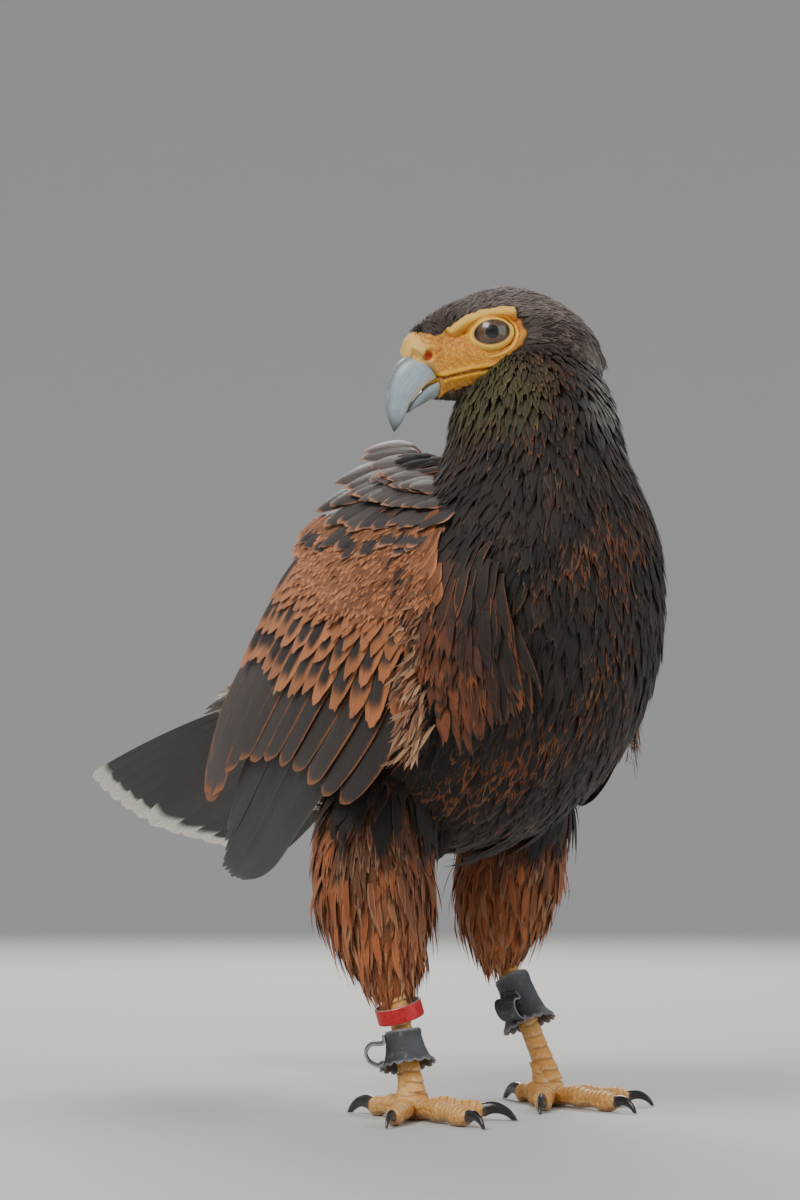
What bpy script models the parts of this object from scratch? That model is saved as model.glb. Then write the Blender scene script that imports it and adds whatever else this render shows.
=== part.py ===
"""A life-size still model of a standing Harris hawk, with leather anklets and a leg ring.

The bird faces -Y and stands on Z = 0, so +X is its left side. Its head is turned far to
its right. All sizes are in metres. Each sub-part is a closed solid, and neighbours keep
a gap of GAP between their faces.
"""
import math

import bmesh
import bpy
import numpy as np

# Driving sizes
GAP = 0.0003                 # between touching sub-parts
POCKET_CLEARANCE = 0.0028    # between the wing's inner face and the hollow in the flank
VANE = 0.00055               # thickness of a feather's vane
NECK_TOP = 0.307             # height of the cut between head and neck
NECK_ROOT = (-0.036, 0.262)  # y and z of the cut between neck and torso
NECK_ROOT_TILT = math.radians(22)
TRUNK_RINGS = 24
TRUNK_SIDES = 20

# Trunk and neck, from the neck's top to the rump: y, z, half width, depth to the breast
# or belly, depth to the back
TRUNK = (
    (-0.034, 0.328, 0.031, 0.030, 0.032),
    (-0.037, 0.305, 0.035, 0.036, 0.034),
    (-0.039, 0.280, 0.041, 0.043, 0.039),
    (-0.036, 0.253, 0.058, 0.055, 0.050),
    (-0.026, 0.226, 0.067, 0.066, 0.053),
    (-0.010, 0.201, 0.069, 0.073, 0.053),
    (0.014, 0.185, 0.065, 0.073, 0.049),
    (0.042, 0.177, 0.057, 0.060, 0.045),
    (0.070, 0.175, 0.047, 0.044, 0.038),
    (0.096, 0.178, 0.038, 0.033, 0.030),
    (0.122, 0.176, 0.027, 0.019, 0.019),
)

# Head: its centre, the way it faces, and its stations along that way from nape to cere:
# place along the head, half width, top and bottom
HEAD_CENTRE = (-0.0112, -0.0307, 0.3337)
HEAD_YAW = math.radians(163)     # from +X, seen from above
HEAD_PITCH = math.radians(-2)
HEAD_SIDES = 20
HEAD = (
    (-0.0425, 0.0110, -0.001, -0.020),
    (-0.0390, 0.0165, 0.005, -0.026),
    (-0.0310, 0.0215, 0.0130, -0.031),
    (-0.0190, 0.0245, 0.0198, -0.033),
    (-0.0055, 0.0250, 0.0232, -0.031),
    (0.0060, 0.0230, 0.0222, -0.028),
    (0.0140, 0.0200, 0.0195, -0.0265),
    (0.0240, 0.0160, 0.0155, -0.0258),
    (0.0310, 0.0125, 0.0114, -0.0255),
    (0.0370, 0.0105, 0.0068, -0.0250),
    (0.0432, 0.0086, 0.0004, -0.0245),
)
EYE_AT = (0.0096, 0.0142, 0.0008)    # along, aside, up
EYE_RADIUS = 0.0095
LID_OUT, LID_SIZE = 0.0062, (0.0086, 0.0064)     # the lid ring's place in front of the eye's centre
NOSTRIL_AT = (0.0378, 0.0098, -0.0090)
NOSTRIL = (0.0022, 0.0030, 0.0016)
GAPE = ((0.0115, -0.0140), (0.0180, -0.0150), (0.0250, -0.0162), (0.0325, -0.0178))
MOUTH_GAP = 0.0007

# Upper and lower bill: pairs of outline points in the head's own side view, along and
# up, with the half width there
UPPER_BILL = (
    ((0.0408, -0.0062), (0.0326, -0.0174), 0.0086),
    ((0.0446, -0.0080), (0.0346, -0.0186), 0.0082),
    ((0.0480, -0.0112), (0.0378, -0.0208), 0.0074),
    ((0.0508, -0.0160), (0.0411, -0.0238), 0.0063),
    ((0.0526, -0.0215), (0.0435, -0.0270), 0.0051),
    ((0.0532, -0.0270), (0.0450, -0.0308), 0.0040),
    ((0.0527, -0.0325), (0.0464, -0.0346), 0.0028),
    ((0.0516, -0.0365), (0.0482, -0.0375), 0.0016),
)
BILL_TIP = (0.0500, -0.0399)
CERE_EDGE = ((0.0480, 0.0042), (0.0405, -0.0060), (0.0323, -0.0172), (0.0345, -0.0186),
             (0.0600, -0.0300), (0.0600, 0.0042))
CHIN_EDGE = ((0.0310, -0.0172), (0.0306, -0.0300), (0.0600, -0.0300), (0.0600, -0.0172))
LOWER_BILL = (
    ((0.0312, -0.0190), (0.0308, -0.0250), 0.0074),
    ((0.0340, -0.0198), (0.0340, -0.0262), 0.0066),
    ((0.0374, -0.0219), (0.0375, -0.0282), 0.0056),
    ((0.0402, -0.0247), (0.0408, -0.0300), 0.0044),
    ((0.0423, -0.0278), (0.0432, -0.0314), 0.0028),
)
LOWER_TIP = (0.0442, -0.0318)

# Right wing, folded and a little dropped: its dorsal and its lower edge, from the
# shoulder and wrist to the tips. The left wing is its mirror image.
WING_TOP = (
    (-0.044, -0.034, 0.273),
    (-0.053, 0.008, 0.269),
    (-0.062, 0.046, 0.250),
    (-0.069, 0.080, 0.213),
    (-0.072, 0.109, 0.175),
    (-0.067, 0.135, 0.140),
)
WING_LOW = (
    (-0.053, -0.073, 0.192),
    (-0.073, -0.041, 0.152),
    (-0.078, 0.003, 0.130),
    (-0.069, 0.052, 0.118),
    (-0.057, 0.098, 0.107),
    (-0.049, 0.136, 0.102),
)
WING_BULGE = 0.014
LEFT_WING_SHIFT = (-0.007, 0.018, 0.0)
WING_THICK = 0.0115
WING_ROLL = math.radians(8)      # how far each vane leans, so that neighbours shingle
# Tiers of vanes on the wing, by root line and tip line on the wing's own map (u, v), from the
# dorsal edge to the front. Then: count, half width, height over the map at root and tip, stations
PRIMARIES = (((0.22, 0.36), (0.16, 0.56), (0.10, 0.76)),
             ((0.95, 0.58), (0.98, 0.80), (0.98, 0.98), (0.87, 1.06), (0.73, 1.07)),
             6, 0.0088, -0.0094, -0.0096, 6)
SECONDARIES = (((0.30, 0.05), (0.26, 0.20), (0.18, 0.44), (0.10, 0.80)),
               ((0.86, 0.03), (0.96, 0.12), (0.80, 0.36), (0.67, 0.53), (0.58, 0.70), (0.47, 0.88),
                (0.37, 1.00)), 8, 0.0108, -0.0058, -0.0058, 6)
GREATER_COVERTS = (((0.26, 0.04), (0.20, 0.26), (0.12, 0.48), (0.04, 0.72)),
                   ((0.62, 0.05), (0.55, 0.28), (0.49, 0.49), (0.36, 0.65), (0.25, 0.80), (0.14, 0.93)),
                   7, 0.0092, -0.0028, -0.0021, 4)
MEDIAN_COVERTS = (((0.22, 0.05), (0.10, 0.32), (0.00, 0.62)),
                  ((0.51, 0.06), (0.42, 0.27), (0.31, 0.47), (0.20, 0.64), (0.08, 0.80)),
                  6, 0.0092, -0.0028, 0.0014, 4)
SCAPULARS = (((0.14, 0.04), (0.05, 0.09), (0.00, 0.18)),
             ((0.39, 0.05), (0.23, 0.22), (0.06, 0.38)), 4, 0.0105, -0.0020, 0.0034, 4)

# Tail
TAIL_ROOT = (0.0, 0.106, 0.186)
TAIL_LENGTH = 0.192
TAIL_DROP = math.radians(18)
TAIL_ROLL = math.radians(23)
TAIL_SWING = math.radians(3)     # towards the bird's left
TAIL_SPREAD = math.radians(12)   # heading of the outermost feathers
TAIL_BASE_HALF = 0.012
TAIL_STEP = 0.0009               # height between neighbouring ranks

# Legs: the thighs' stations from the hip to the hem, as x, y, z, half width, half depth,
# for the right leg, and where each foot stands
THIGH_RIGHT = (
    (-0.034, 0.018, 0.150, 0.022, 0.030),
    (-0.040, 0.020, 0.130, 0.0245, 0.030),
    (-0.042, 0.022, 0.110, 0.0255, 0.0275),
    (-0.042, 0.021, 0.092, 0.0245, 0.0245),
    (-0.041, 0.018, 0.074, 0.0190, 0.0190),
    (-0.040, 0.013, 0.058, 0.0120, 0.0120),
)
THIGH_LEFT = (
    (0.034, 0.030, 0.150, 0.022, 0.028),
    (0.040, 0.031, 0.132, 0.0240, 0.028),
    (0.042, 0.033, 0.114, 0.0235, 0.0265),
    (0.042, 0.036, 0.097, 0.0228, 0.0235),
    (0.040, 0.037, 0.083, 0.0190, 0.0185),
    (0.039, 0.037, 0.071, 0.0125, 0.0120),
)
FOOT_RIGHT = (-0.0415, -0.0065)
FOOT_LEFT = (0.0470, 0.0135)
HOCK_RIGHT = (-0.0405, 0.0150, 0.082)
HOCK_LEFT = (0.0360, 0.0440, 0.086)
TARSUS_RADIUS = 0.0043
ANKLE_Z = 0.0145
TOE_Z = 0.0042

# Toes: name, heading from straight ahead towards the outside of the foot in degrees,
# length, radius, number of scutes, claw length, claw base radius
TOES = (
    ("middle", 4, 0.043, 0.0043, 8, 0.018, 0.0026),
    ("inner", -42, 0.029, 0.0044, 5, 0.021, 0.0030),
    ("outer", 48, 0.034, 0.0040, 6, 0.016, 0.0024),
    ("hind", 172, 0.022, 0.0044, 4, 0.024, 0.0032),
)

LOCKS = 5                        # tapered locks in each of the hem's two rows

# Worn things
RING_Z, RING_OUTER, RING_WALL, RING_HEIGHT = 0.0450, 0.0102, 0.0014, 0.0070
RING_TILT = math.radians(14)
ANKLET_WALL = 0.0014
ANKLET_RIGHT_Z = (0.0215, 0.0370)
ANKLET_LEFT_Z = (0.0340, 0.0580)
ANKLET_TOP_R, ANKLET_LOW_R = 0.0077, 0.0108
TAB_RADIUS, TAB_WIDTH = 0.0046, 0.0080     # the folded loop that a strap goes through


def through(points, t):
    """Points on the smooth curve through the given ones, at t from 0 to 1, straight on past the ends."""
    p = np.asarray(points, float)
    spans = len(p) - 1
    p = np.vstack([2 * p[0] - p[1], p, 2 * p[-1] - p[-2]])
    t = np.asarray(t, float)
    inside = np.clip(t, 0, 1)
    x = inside * spans
    k = np.minimum(x.astype(int), spans - 1)
    f = (x - k)[..., None]
    a, b, c, d = p[k], p[k + 1], p[k + 2], p[k + 3]
    curve = 0.5 * (2 * b + (c - a) * f + (2 * a - 5 * b + 4 * c - d) * f**2
                   + (3 * b - a - 3 * c + d) * f**3)
    slope = 0.5 * ((c - a) + 2 * (2 * a - 5 * b + 4 * c - d) * f
                   + 3 * (3 * b - a - 3 * c + d) * f**2) * spans
    return curve + (t - inside)[..., None] * slope


def unit(v):
    v = np.asarray(v, float)
    return v / np.linalg.norm(v, axis=-1, keepdims=True)


def rings_to_mesh(rings, start=None, end=None):
    """A closed skin over rings of equal counts. The ends close on a centre point or on the given one."""
    rings = np.asarray(rings, float)
    count, sides = rings.shape[:2]
    start = rings[0].mean(0) if start is None else np.asarray(start, float)
    end = rings[-1].mean(0) if end is None else np.asarray(end, float)
    points = np.vstack([rings.reshape(-1, 3), start[None], end[None]])
    first, last = count * sides, count * sides + 1
    faces = []
    for i in range(count - 1):
        for j in range(sides):
            a, b = i * sides + j, i * sides + (j + 1) % sides
            faces.append((a, b, b + sides, a + sides))
    for j in range(sides):
        k = (j + 1) % sides
        faces.append((first, k, j))
        faces.append((last, (count - 1) * sides + j, (count - 1) * sides + k))
    return points, faces


def slab(name, outer, inner, finish):
    """A closed plate between two grids of the same size, with walls along its four edges."""
    n, m = outer.shape[:2]
    points = np.vstack([outer.reshape(-1, 3), inner.reshape(-1, 3)])
    number = np.arange(n * m).reshape(n, m)
    faces = []
    for i in range(n - 1):
        for j in range(m - 1):
            a, b, c, d = number[i, j], number[i + 1, j], number[i + 1, j + 1], number[i, j + 1]
            faces += [(a, b, c, d), (d + n * m, c + n * m, b + n * m, a + n * m)]
    border = [*number[0, :], *number[1:, -1], *number[-1, -2::-1], *number[-2:0:-1, 0]]
    for a, b in zip(border, border[1:] + border[:1]):
        faces.append((a, b, b + n * m, a + n * m))
    return add_object(name, points, faces, finish)


def surface(name):
    return MATERIALS[name]


def add_object(name, points, faces, finish):
    """A new object from points and faces, with its faces turned outwards."""
    mesh = bpy.data.meshes.new(name)
    mesh.from_pydata([tuple(p) for p in points], [], [tuple(int(i) for i in f) for f in faces])
    work = bmesh.new()
    work.from_mesh(mesh)
    bmesh.ops.recalc_face_normals(work, faces=work.faces)
    if work.calc_volume(signed=True) < 0:
        bmesh.ops.reverse_faces(work, faces=work.faces)
    work.to_mesh(mesh)
    work.free()
    mesh.materials.append(surface(finish))
    made = bpy.data.objects.new(name, mesh)
    bpy.context.scene.collection.objects.link(made)
    return made


def bake_modifiers(obj):
    """Replaces the object's mesh by its evaluated one, and removes its modifiers."""
    bpy.context.view_layer.update()
    graph = bpy.context.evaluated_depsgraph_get()
    mesh = bpy.data.meshes.new_from_object(obj.evaluated_get(graph))
    finish = obj.data.materials[0]
    obj.modifiers.clear()
    obj.data = mesh
    mesh.materials.clear()
    mesh.materials.append(finish)


def keep_largest(obj):
    """Keeps only the closed surface of the largest volume, without loose scraps or sealed hollows."""
    work = bmesh.new()
    work.from_mesh(obj.data)
    bmesh.ops.remove_doubles(work, verts=work.verts, dist=1e-7)
    bmesh.ops.triangulate(work, faces=work.faces)
    work.verts.ensure_lookup_table()
    seen, shells = set(), []
    for vertex in work.verts:
        if vertex in seen:
            continue
        shell, stack = set(), [vertex]
        while stack:
            at = stack.pop()
            if at in shell:
                continue
            shell.add(at)
            stack.extend(edge.other_vert(at) for edge in at.link_edges)
        seen |= shell
        faces = {face for at in shell for face in at.link_faces}
        volume = sum(f.verts[0].co.dot(f.verts[1].co.cross(f.verts[2].co)) / 6 for f in faces)
        shells.append((abs(volume), shell))
    shells.sort(key=lambda pair: -pair[0])
    loose = [vertex for _, shell in shells[1:] for vertex in shell]
    bmesh.ops.delete(work, geom=loose, context="VERTS")
    work.to_mesh(obj.data)
    work.free()


def fuse(name, pieces, solver="EXACT"):
    """Joins the pieces into one closed body by one Boolean union."""
    body = pieces[0]
    body.name = name
    if len(pieces) > 1:
        group = bpy.data.collections.new(name + "_pieces")
        for piece in pieces[1:]:
            group.objects.link(piece)
        union = body.modifiers.new("union", "BOOLEAN")
        union.operation = "UNION"
        union.operand_type = "COLLECTION"
        union.collection = group
        union.solver = solver
        bake_modifiers(body)
        for piece in pieces[1:]:
            bpy.data.objects.remove(piece)
        bpy.data.collections.remove(group)
    keep_largest(body)
    return body


def carve(body, cutters, solver="EXACT"):
    """Cuts the cutters out of the body and removes them."""
    for cutter in cutters:
        cut = body.modifiers.new("cut", "BOOLEAN")
        cut.operation = "DIFFERENCE"
        cut.object = cutter
        cut.solver = solver
        bake_modifiers(body)
        bpy.data.objects.remove(cutter)
    keep_largest(body)
    return body


def part_by_plane(body, name, point, normal):
    """A copy of the body with only what lies on the normal's side of the plane, closed there."""
    mesh = body.data.copy()
    work = bmesh.new()
    work.from_mesh(mesh)
    everything = list(work.verts) + list(work.edges) + list(work.faces)
    cut = bmesh.ops.bisect_plane(work, geom=everything, dist=1e-6, plane_co=point,
                                 plane_no=normal, clear_inner=True)
    rim = [e for e in cut["geom_cut"] if isinstance(e, bmesh.types.BMEdge)]
    bmesh.ops.holes_fill(work, edges=rim, sides=0)
    bmesh.ops.triangulate(work, faces=work.faces)
    work.to_mesh(mesh)
    work.free()
    made = bpy.data.objects.new(name, mesh)
    bpy.context.scene.collection.objects.link(made)
    keep_largest(made)
    return made


def trunk_points(grow=0.0):
    """Rings of the trunk and neck. Each is an egg-shaped loop square to the trunk's own line."""
    t = np.linspace(0, 1, TRUNK_RINGS)
    y, z, half, front, back = through(TRUNK, t).T
    ahead = unit(np.gradient(np.c_[y, z], axis=0))
    belly = np.c_[ahead[:, 1], -ahead[:, 0]]
    angle = np.linspace(0, 2 * np.pi, TRUNK_SIDES, endpoint=False)
    across, along = np.sin(angle), np.cos(angle)
    depth = np.where(along[None] > 0, front[:, None], back[:, None]) + grow
    x = (half[:, None] + grow) * across
    rings = np.stack([x, y[:, None] + belly[:, :1] * depth * along,
                      z[:, None] + belly[:, 1:] * depth * along], axis=2)
    end_push = np.r_[0.0, ahead[-1]] * (0.008 + grow)
    start_push = np.r_[0.0, -ahead[0]] * (0.004 + grow)
    return rings, rings[0].mean(0) + start_push, rings[-1].mean(0) + end_push


def trunk_object(name, grow=0.0):
    rings, start, end = trunk_points(grow)
    return add_object(name, *rings_to_mesh(rings, start, end), "plumage_dark")


def head_axes():
    """The head's own axes: ahead, its left side and up."""
    flat = np.array([math.cos(HEAD_YAW), math.sin(HEAD_YAW), 0.0])
    ahead = flat * math.cos(HEAD_PITCH) + np.array([0, 0, math.sin(HEAD_PITCH)])
    left = np.array([-flat[1], flat[0], 0.0])
    return np.array([ahead, left, np.cross(ahead, left)])


def in_head(points):
    """Head coordinates (along, aside to its left, up) as places in the bird's frame."""
    return np.asarray(points, float) @ head_axes() + HEAD_CENTRE


def head_shell():
    """The feathered skull and cere: egg-shaped loops along the head, fuller at the cheeks."""
    t = np.linspace(0, 1, 16)
    along, half, top, low = through(HEAD, t).T
    angle = np.linspace(0, 2 * np.pi, HEAD_SIDES, endpoint=False)
    across, up = np.sin(angle), np.cos(angle)
    middle = (low + (top - low) * 0.52)[:, None]
    height = np.where(up[None] > 0, top[:, None] - middle, middle - low[:, None])
    rings = np.stack([np.broadcast_to(along[:, None], height.shape), half[:, None] * across,
                      middle + height * up], axis=2)
    back = (along[0] - 0.003, 0.0, (top[0] + low[0]) / 2)
    front = (along[-1] + 0.0015, 0.0, (top[-1] + low[-1]) / 2)
    return add_object("skull", *rings_to_mesh(in_head(rings), in_head(back), in_head(front)),
                      "plumage_dark")


def roll(name, path, radii, sides, finish):
    """A rounded roll along a path, used for lids, lips, brows and toes."""
    path = np.asarray(path, float)
    radii = np.broadcast_to(np.asarray(radii, float), (len(path),))
    ahead = unit(np.gradient(path, axis=0))
    side = unit(np.cross(ahead, [0.0, 0.0, 1.0]))
    up = np.cross(side, ahead)
    angle = np.linspace(0, 2 * np.pi, sides, endpoint=False)
    rings = (path[:, None] + radii[:, None, None] * (
        np.cos(angle)[None, :, None] * side[:, None] + np.sin(angle)[None, :, None] * up[:, None]))
    return add_object(name, *rings_to_mesh(rings), finish)


def ball(name, centre, radii, axes=None, finish="plumage_dark", segments=16, rings=10):
    """An ellipsoid with the given half sizes along the given axes."""
    axes = np.eye(3) if axes is None else axes
    theta = np.linspace(0, np.pi, rings + 1)[1:-1]
    phi = np.linspace(0, 2 * np.pi, segments, endpoint=False)
    loops = np.stack([np.sin(theta)[:, None] * np.cos(phi), np.sin(theta)[:, None] * np.sin(phi),
                      np.broadcast_to(np.cos(theta)[:, None], (len(theta), segments))], axis=2)

    def place(q):
        return (np.asarray(q) * radii) @ axes + centre

    return add_object(name, *rings_to_mesh(place(loops), place((0, 0, 1.0)), place((0, 0, -1.0))),
                      finish)


def ring_path(centre, first, second, radius_a, radius_b, count):
    angle = np.linspace(0, 2 * np.pi, count, endpoint=False)
    return (np.asarray(centre) + radius_a * np.cos(angle)[:, None] * first
            + radius_b * np.sin(angle)[:, None] * second)


def closed_roll(name, path, radius, out, sides, finish):
    """A ring-shaped roll: `out` is the direction square to the ring's plane."""
    ahead = unit(np.roll(path, -1, axis=0) - np.roll(path, 1, axis=0))
    side = unit(np.cross(ahead, out))
    lift = np.cross(side, ahead)
    angle = np.linspace(0, 2 * np.pi, sides, endpoint=False)
    loops = (path[:, None] + radius * (np.cos(angle)[None, :, None] * side[:, None]
                                       + np.sin(angle)[None, :, None] * lift[:, None]))
    points = loops.reshape(-1, 3)
    count = len(path)
    faces = [(i * sides + j, i * sides + (j + 1) % sides,
              (i + 1) % count * sides + (j + 1) % sides, (i + 1) % count * sides + j)
             for i in range(count) for j in range(sides)]
    return add_object(name, points, faces, finish)


def eye_axes(side):
    """Axes of one eye: it looks aside, a little ahead and a little down."""
    out = unit(np.array([0.28, side * 1.0, -0.04]))
    ahead = unit(np.array([1.0, 0, 0.0]) - out * out[0])
    return np.array([ahead, np.cross(out, ahead), out])


def lids(side):
    """The yellow rim around one eye, an almond-shaped roll."""
    local = eye_axes(side)
    centre = np.array([EYE_AT[0], side * EYE_AT[1], EYE_AT[2]])
    rim_at = centre + local[2] * LID_OUT
    path = ring_path(rim_at, local[0], local[1], LID_SIZE[0], LID_SIZE[1], 16)
    return closed_roll("lid", in_head(path), 0.0019, in_head(local[2]) - HEAD_CENTRE, 5, "facial_skin")


def aperture(side):
    """What is cut away in front of the eyeball, so that it shows between the lids."""
    local = eye_axes(side)
    centre = np.array([EYE_AT[0], side * EYE_AT[1], EYE_AT[2]]) + local[2] * (LID_OUT + 0.005)
    return ball("aperture", in_head(centre), [LID_SIZE[0] * 0.95, LID_SIZE[1] * 0.88, 0.0095],
                local @ head_axes(), "facial_skin", 18, 8)


def brow(side):
    """The bony ridge over one eye, from the lore back past the eye."""
    t = np.linspace(0, 1, 7)
    path = through(((0.0250, side * 0.0130, 0.0055), (0.0170, side * 0.0180, 0.0100),
                    (0.0095, side * 0.0212, 0.0120), (0.0020, side * 0.0222, 0.0112)), t)
    radii = 0.0030 * np.sin(np.pi * (0.2 + 0.62 * t))
    return roll("brow", in_head(path), radii, 6, "facial_skin")


def lip(side, upper):
    """The fleshy yellow edge above or below one side of the mouth."""
    t = np.linspace(0, 1, 7)
    line = through(GAPE, t)
    half = through([(h[0], h[1]) for h in HEAD], np.linspace(0, 1, 60))
    width = np.interp(line[:, 0], half[:, 0], half[:, 1])
    drop = 0.0013 if upper else -0.0013
    inset = 0.0020 if upper else 0.0026
    path = np.c_[line[:, 0], side * (width - inset), line[:, 1] + drop]
    return roll("lip", in_head(path), np.linspace(0.0011, 0.0017, 7), 6, "facial_skin")


def mouth_slot():
    """A thin curved blade that cuts the line of the mouth through the front of the head."""
    t = np.linspace(0, 1, 7)
    line = through(GAPE + ((0.0460, -0.0215),), t)
    rings = []
    for along, up in line:
        rings.append([(along, -0.03, up - MOUTH_GAP / 2), (along, 0.03, up - MOUTH_GAP / 2),
                      (along, 0.03, up + MOUTH_GAP / 2), (along, -0.03, up + MOUTH_GAP / 2)])
    return add_object("slot", *rings_to_mesh(in_head(np.array(rings))), "facial_skin")


def border_cut(outline):
    """A wide prism over an outline in the head's side view."""
    outline = np.asarray(outline)
    rings = [np.c_[outline[:, 0], np.full(len(outline), side), outline[:, 1]] for side in (-0.03, 0.03)]
    return add_object("border", *rings_to_mesh(in_head(np.array(rings))), "bill_horn")


def bill_mesh(pairs, tip, grow=0.0, sides=14, flat=0.75):
    """A curved horn between two outlines of the side view, rounder above than below."""
    angle = np.linspace(0, 2 * np.pi, sides, endpoint=False)
    rings = []
    for ridge, edge, half in pairs:
        ridge, edge = np.array(ridge), np.array(edge)
        middle, reach = (ridge + edge) / 2, (ridge - edge) / 2
        reach = reach * (1 + grow / np.linalg.norm(reach))
        up = np.where(np.cos(angle) > 0, np.cos(angle), np.cos(angle) * 1.0)
        swell = np.where(np.cos(angle) > 0, 1.0, flat + (1 - flat) * np.abs(np.sin(angle)))
        rings.append(np.c_[middle[0] + reach[0] * up, (half + grow) * np.sin(angle) * swell,
                           middle[1] + reach[1] * up])
    return in_head(np.array(rings)), in_head((tip[0] + grow * 0.3, 0.0, tip[1] - grow))


def bill(name, pairs, tip, grow=0.0):
    rings, end = bill_mesh(pairs, tip, grow)
    return add_object(name, *rings_to_mesh(rings, None, end), "bill_horn")


def build_head_and_body():
    """Models head, neck and torso whole, cuts sockets, mouth and nostrils, then parts them."""
    pieces = [trunk_object("body"), head_shell()]
    for side in (1, -1):
        pieces += [brow(side), lids(side), lip(side, True), lip(side, False)]
    whole = fuse("body", pieces)
    cutters = []
    for side in (1, -1):
        centre = in_head((EYE_AT[0], side * EYE_AT[1], EYE_AT[2]))
        cutters.append(ball("socket", centre, [EYE_RADIUS + GAP] * 3, segments=16, rings=10))
        cutters.append(ball("nostril", in_head((NOSTRIL_AT[0], side * NOSTRIL_AT[1], NOSTRIL_AT[2])),
                            NOSTRIL, head_axes(), segments=8, rings=6))
    cutters += [wing_pocket(1), wing_pocket(-1), aperture(1), aperture(-1), mouth_slot(), border_cut(CERE_EDGE), border_cut(CHIN_EDGE)]
    carve(whole, cutters)
    neck_line = np.array([0.0, -math.sin(NECK_ROOT_TILT), math.cos(NECK_ROOT_TILT)])
    root = np.array([0.0, *NECK_ROOT])
    top = np.array([0.0, 0.0, NECK_TOP])
    up = np.array([0.0, 0.0, 1.0])
    part_by_plane(whole, "head", top + up * GAP / 2, up)
    above = part_by_plane(whole, "above", root + neck_line * GAP / 2, neck_line)
    part_by_plane(above, "neck", top - up * GAP / 2, -up)
    part_by_plane(whole, "torso", root - neck_line * GAP / 2, -neck_line)
    bpy.data.objects.remove(above)
    bpy.data.objects.remove(whole)
    upper = bill("upper_bill", UPPER_BILL, BILL_TIP)
    carve(upper, [bill("lower_cut", LOWER_BILL, LOWER_TIP, GAP)])
    bill("lower_bill", LOWER_BILL, LOWER_TIP)
    for side, name in ((1, "eye_left"), (-1, "eye_right")):
        centre = in_head((EYE_AT[0], side * EYE_AT[1], EYE_AT[2]))
        ball(name, centre, [EYE_RADIUS] * 3, eye_axes(side) @ head_axes(), "eye", 16, 10)


def wing_place(u, v):
    """A place on the wing's outer face: u runs from the shoulder and wrist to the tips, v from the
    dorsal edge to the lower one. Between the two edge curves the face bulges outwards."""
    u, v = np.broadcast_arrays(np.asarray(u, float), np.asarray(v, float))
    top, low = through(WING_TOP, u), through(WING_LOW, u)
    flat = top * (1 - v)[..., None] + low * v[..., None]
    swell = WING_BULGE * 4 * v * (1 - v) * np.clip(1.15 - u, 0, 1)
    out = np.array([-1.0, -0.15, 0.1])
    return flat + swell[..., None] * unit(out)


def wing_frame(u, v):
    """Place, way to the tip, way across and outward normal at a point of the wing's face."""
    step = 0.004
    at = wing_place(u, v)
    ahead = unit(wing_place(u + step, v) - wing_place(u - step, v))
    across = wing_place(u, v + step) - wing_place(u, v - step)
    out = unit(np.cross(ahead, across))
    return at, ahead, np.cross(out, ahead), out


def on_side(points, side):
    """The right wing's points as they are, or mirrored to the left wing's place."""
    return points if side < 0 else points * (-1, 1, 1) + np.array(LEFT_WING_SHIFT)


def wing_core(side):
    """The arm and hand under the coverts: a slab that follows the wing's face, with a round rim."""
    t, v = np.meshgrid(np.linspace(0, 1, 8), np.linspace(0.02, 0.94, 9), indexing="ij")
    at, _, _, out = wing_frame(t * (0.36 - 0.18 * v), v)
    rim = (np.sin(np.pi * (0.08 + 0.84 * t)) * np.sin(np.pi * (0.07 + 0.86 * (v - 0.02) / 0.92))) ** 0.45
    middle = at - out * WING_THICK * 0.45
    swell = out * (WING_THICK * 0.55 * rim)[..., None]
    return slab("wing", on_side(middle + swell, side), on_side(middle - swell, side), "plumage_dark")


def wing_pocket(side):
    """The hollow in the flank that the folded wing lies in."""
    u, v = np.meshgrid(np.linspace(-0.085, 0.66, 9), np.linspace(-0.15, 1.10, 10), indexing="ij")
    at, _, _, out = wing_frame(u, v)
    return slab("pocket", on_side(at + out * 0.020, side),
                on_side(at - out * (WING_THICK + POCKET_CLEARANCE), side), "plumage_dark")


def vane(path, side_way, normal, half, thick, finish):
    """A thin feather: a four-cornered section along a path, cut to the same triangles on both faces."""
    wide, deep = side_way * half[:, None], normal * thick / 2
    rings = np.stack([path + wide + deep, path + wide - deep, path - wide - deep, path - wide + deep], 1)
    count = len(path)
    faces = [(0, 1, 2), (0, 2, 3)]
    for i in range(count - 1):
        a, b, c, d = range(4 * i, 4 * i + 4)
        e, f, g, h = range(4 * i + 4, 4 * i + 8)
        faces += [(d, a, h), (a, e, h), (b, c, g), (b, g, f), (a, b, e), (b, f, e), (c, d, g), (d, h, g)]
    last = 4 * (count - 1)
    faces += [(last, last + 2, last + 1), (last, last + 3, last + 2)]
    return add_object("vane", rings.reshape(-1, 3), faces, finish)


def vane_shape(stations):
    """Places along a feather and its share of full width there: narrow root, full body, round tip."""
    shapes = {4: ([0.0, 0.55, 0.88, 1.0], [0.6, 1.0, 0.86, 0.30]),
              5: ([0.0, 0.50, 0.80, 0.95, 1.0], [0.60, 0.96, 1.0, 0.70, 0.26]),
              6: ([0.0, 0.30, 0.62, 0.92, 1.0], [0.60, 0.88, 1.0, 0.80, 0.26])}
    t, share = shapes[stations]
    return np.array(t), np.array(share)


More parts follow.
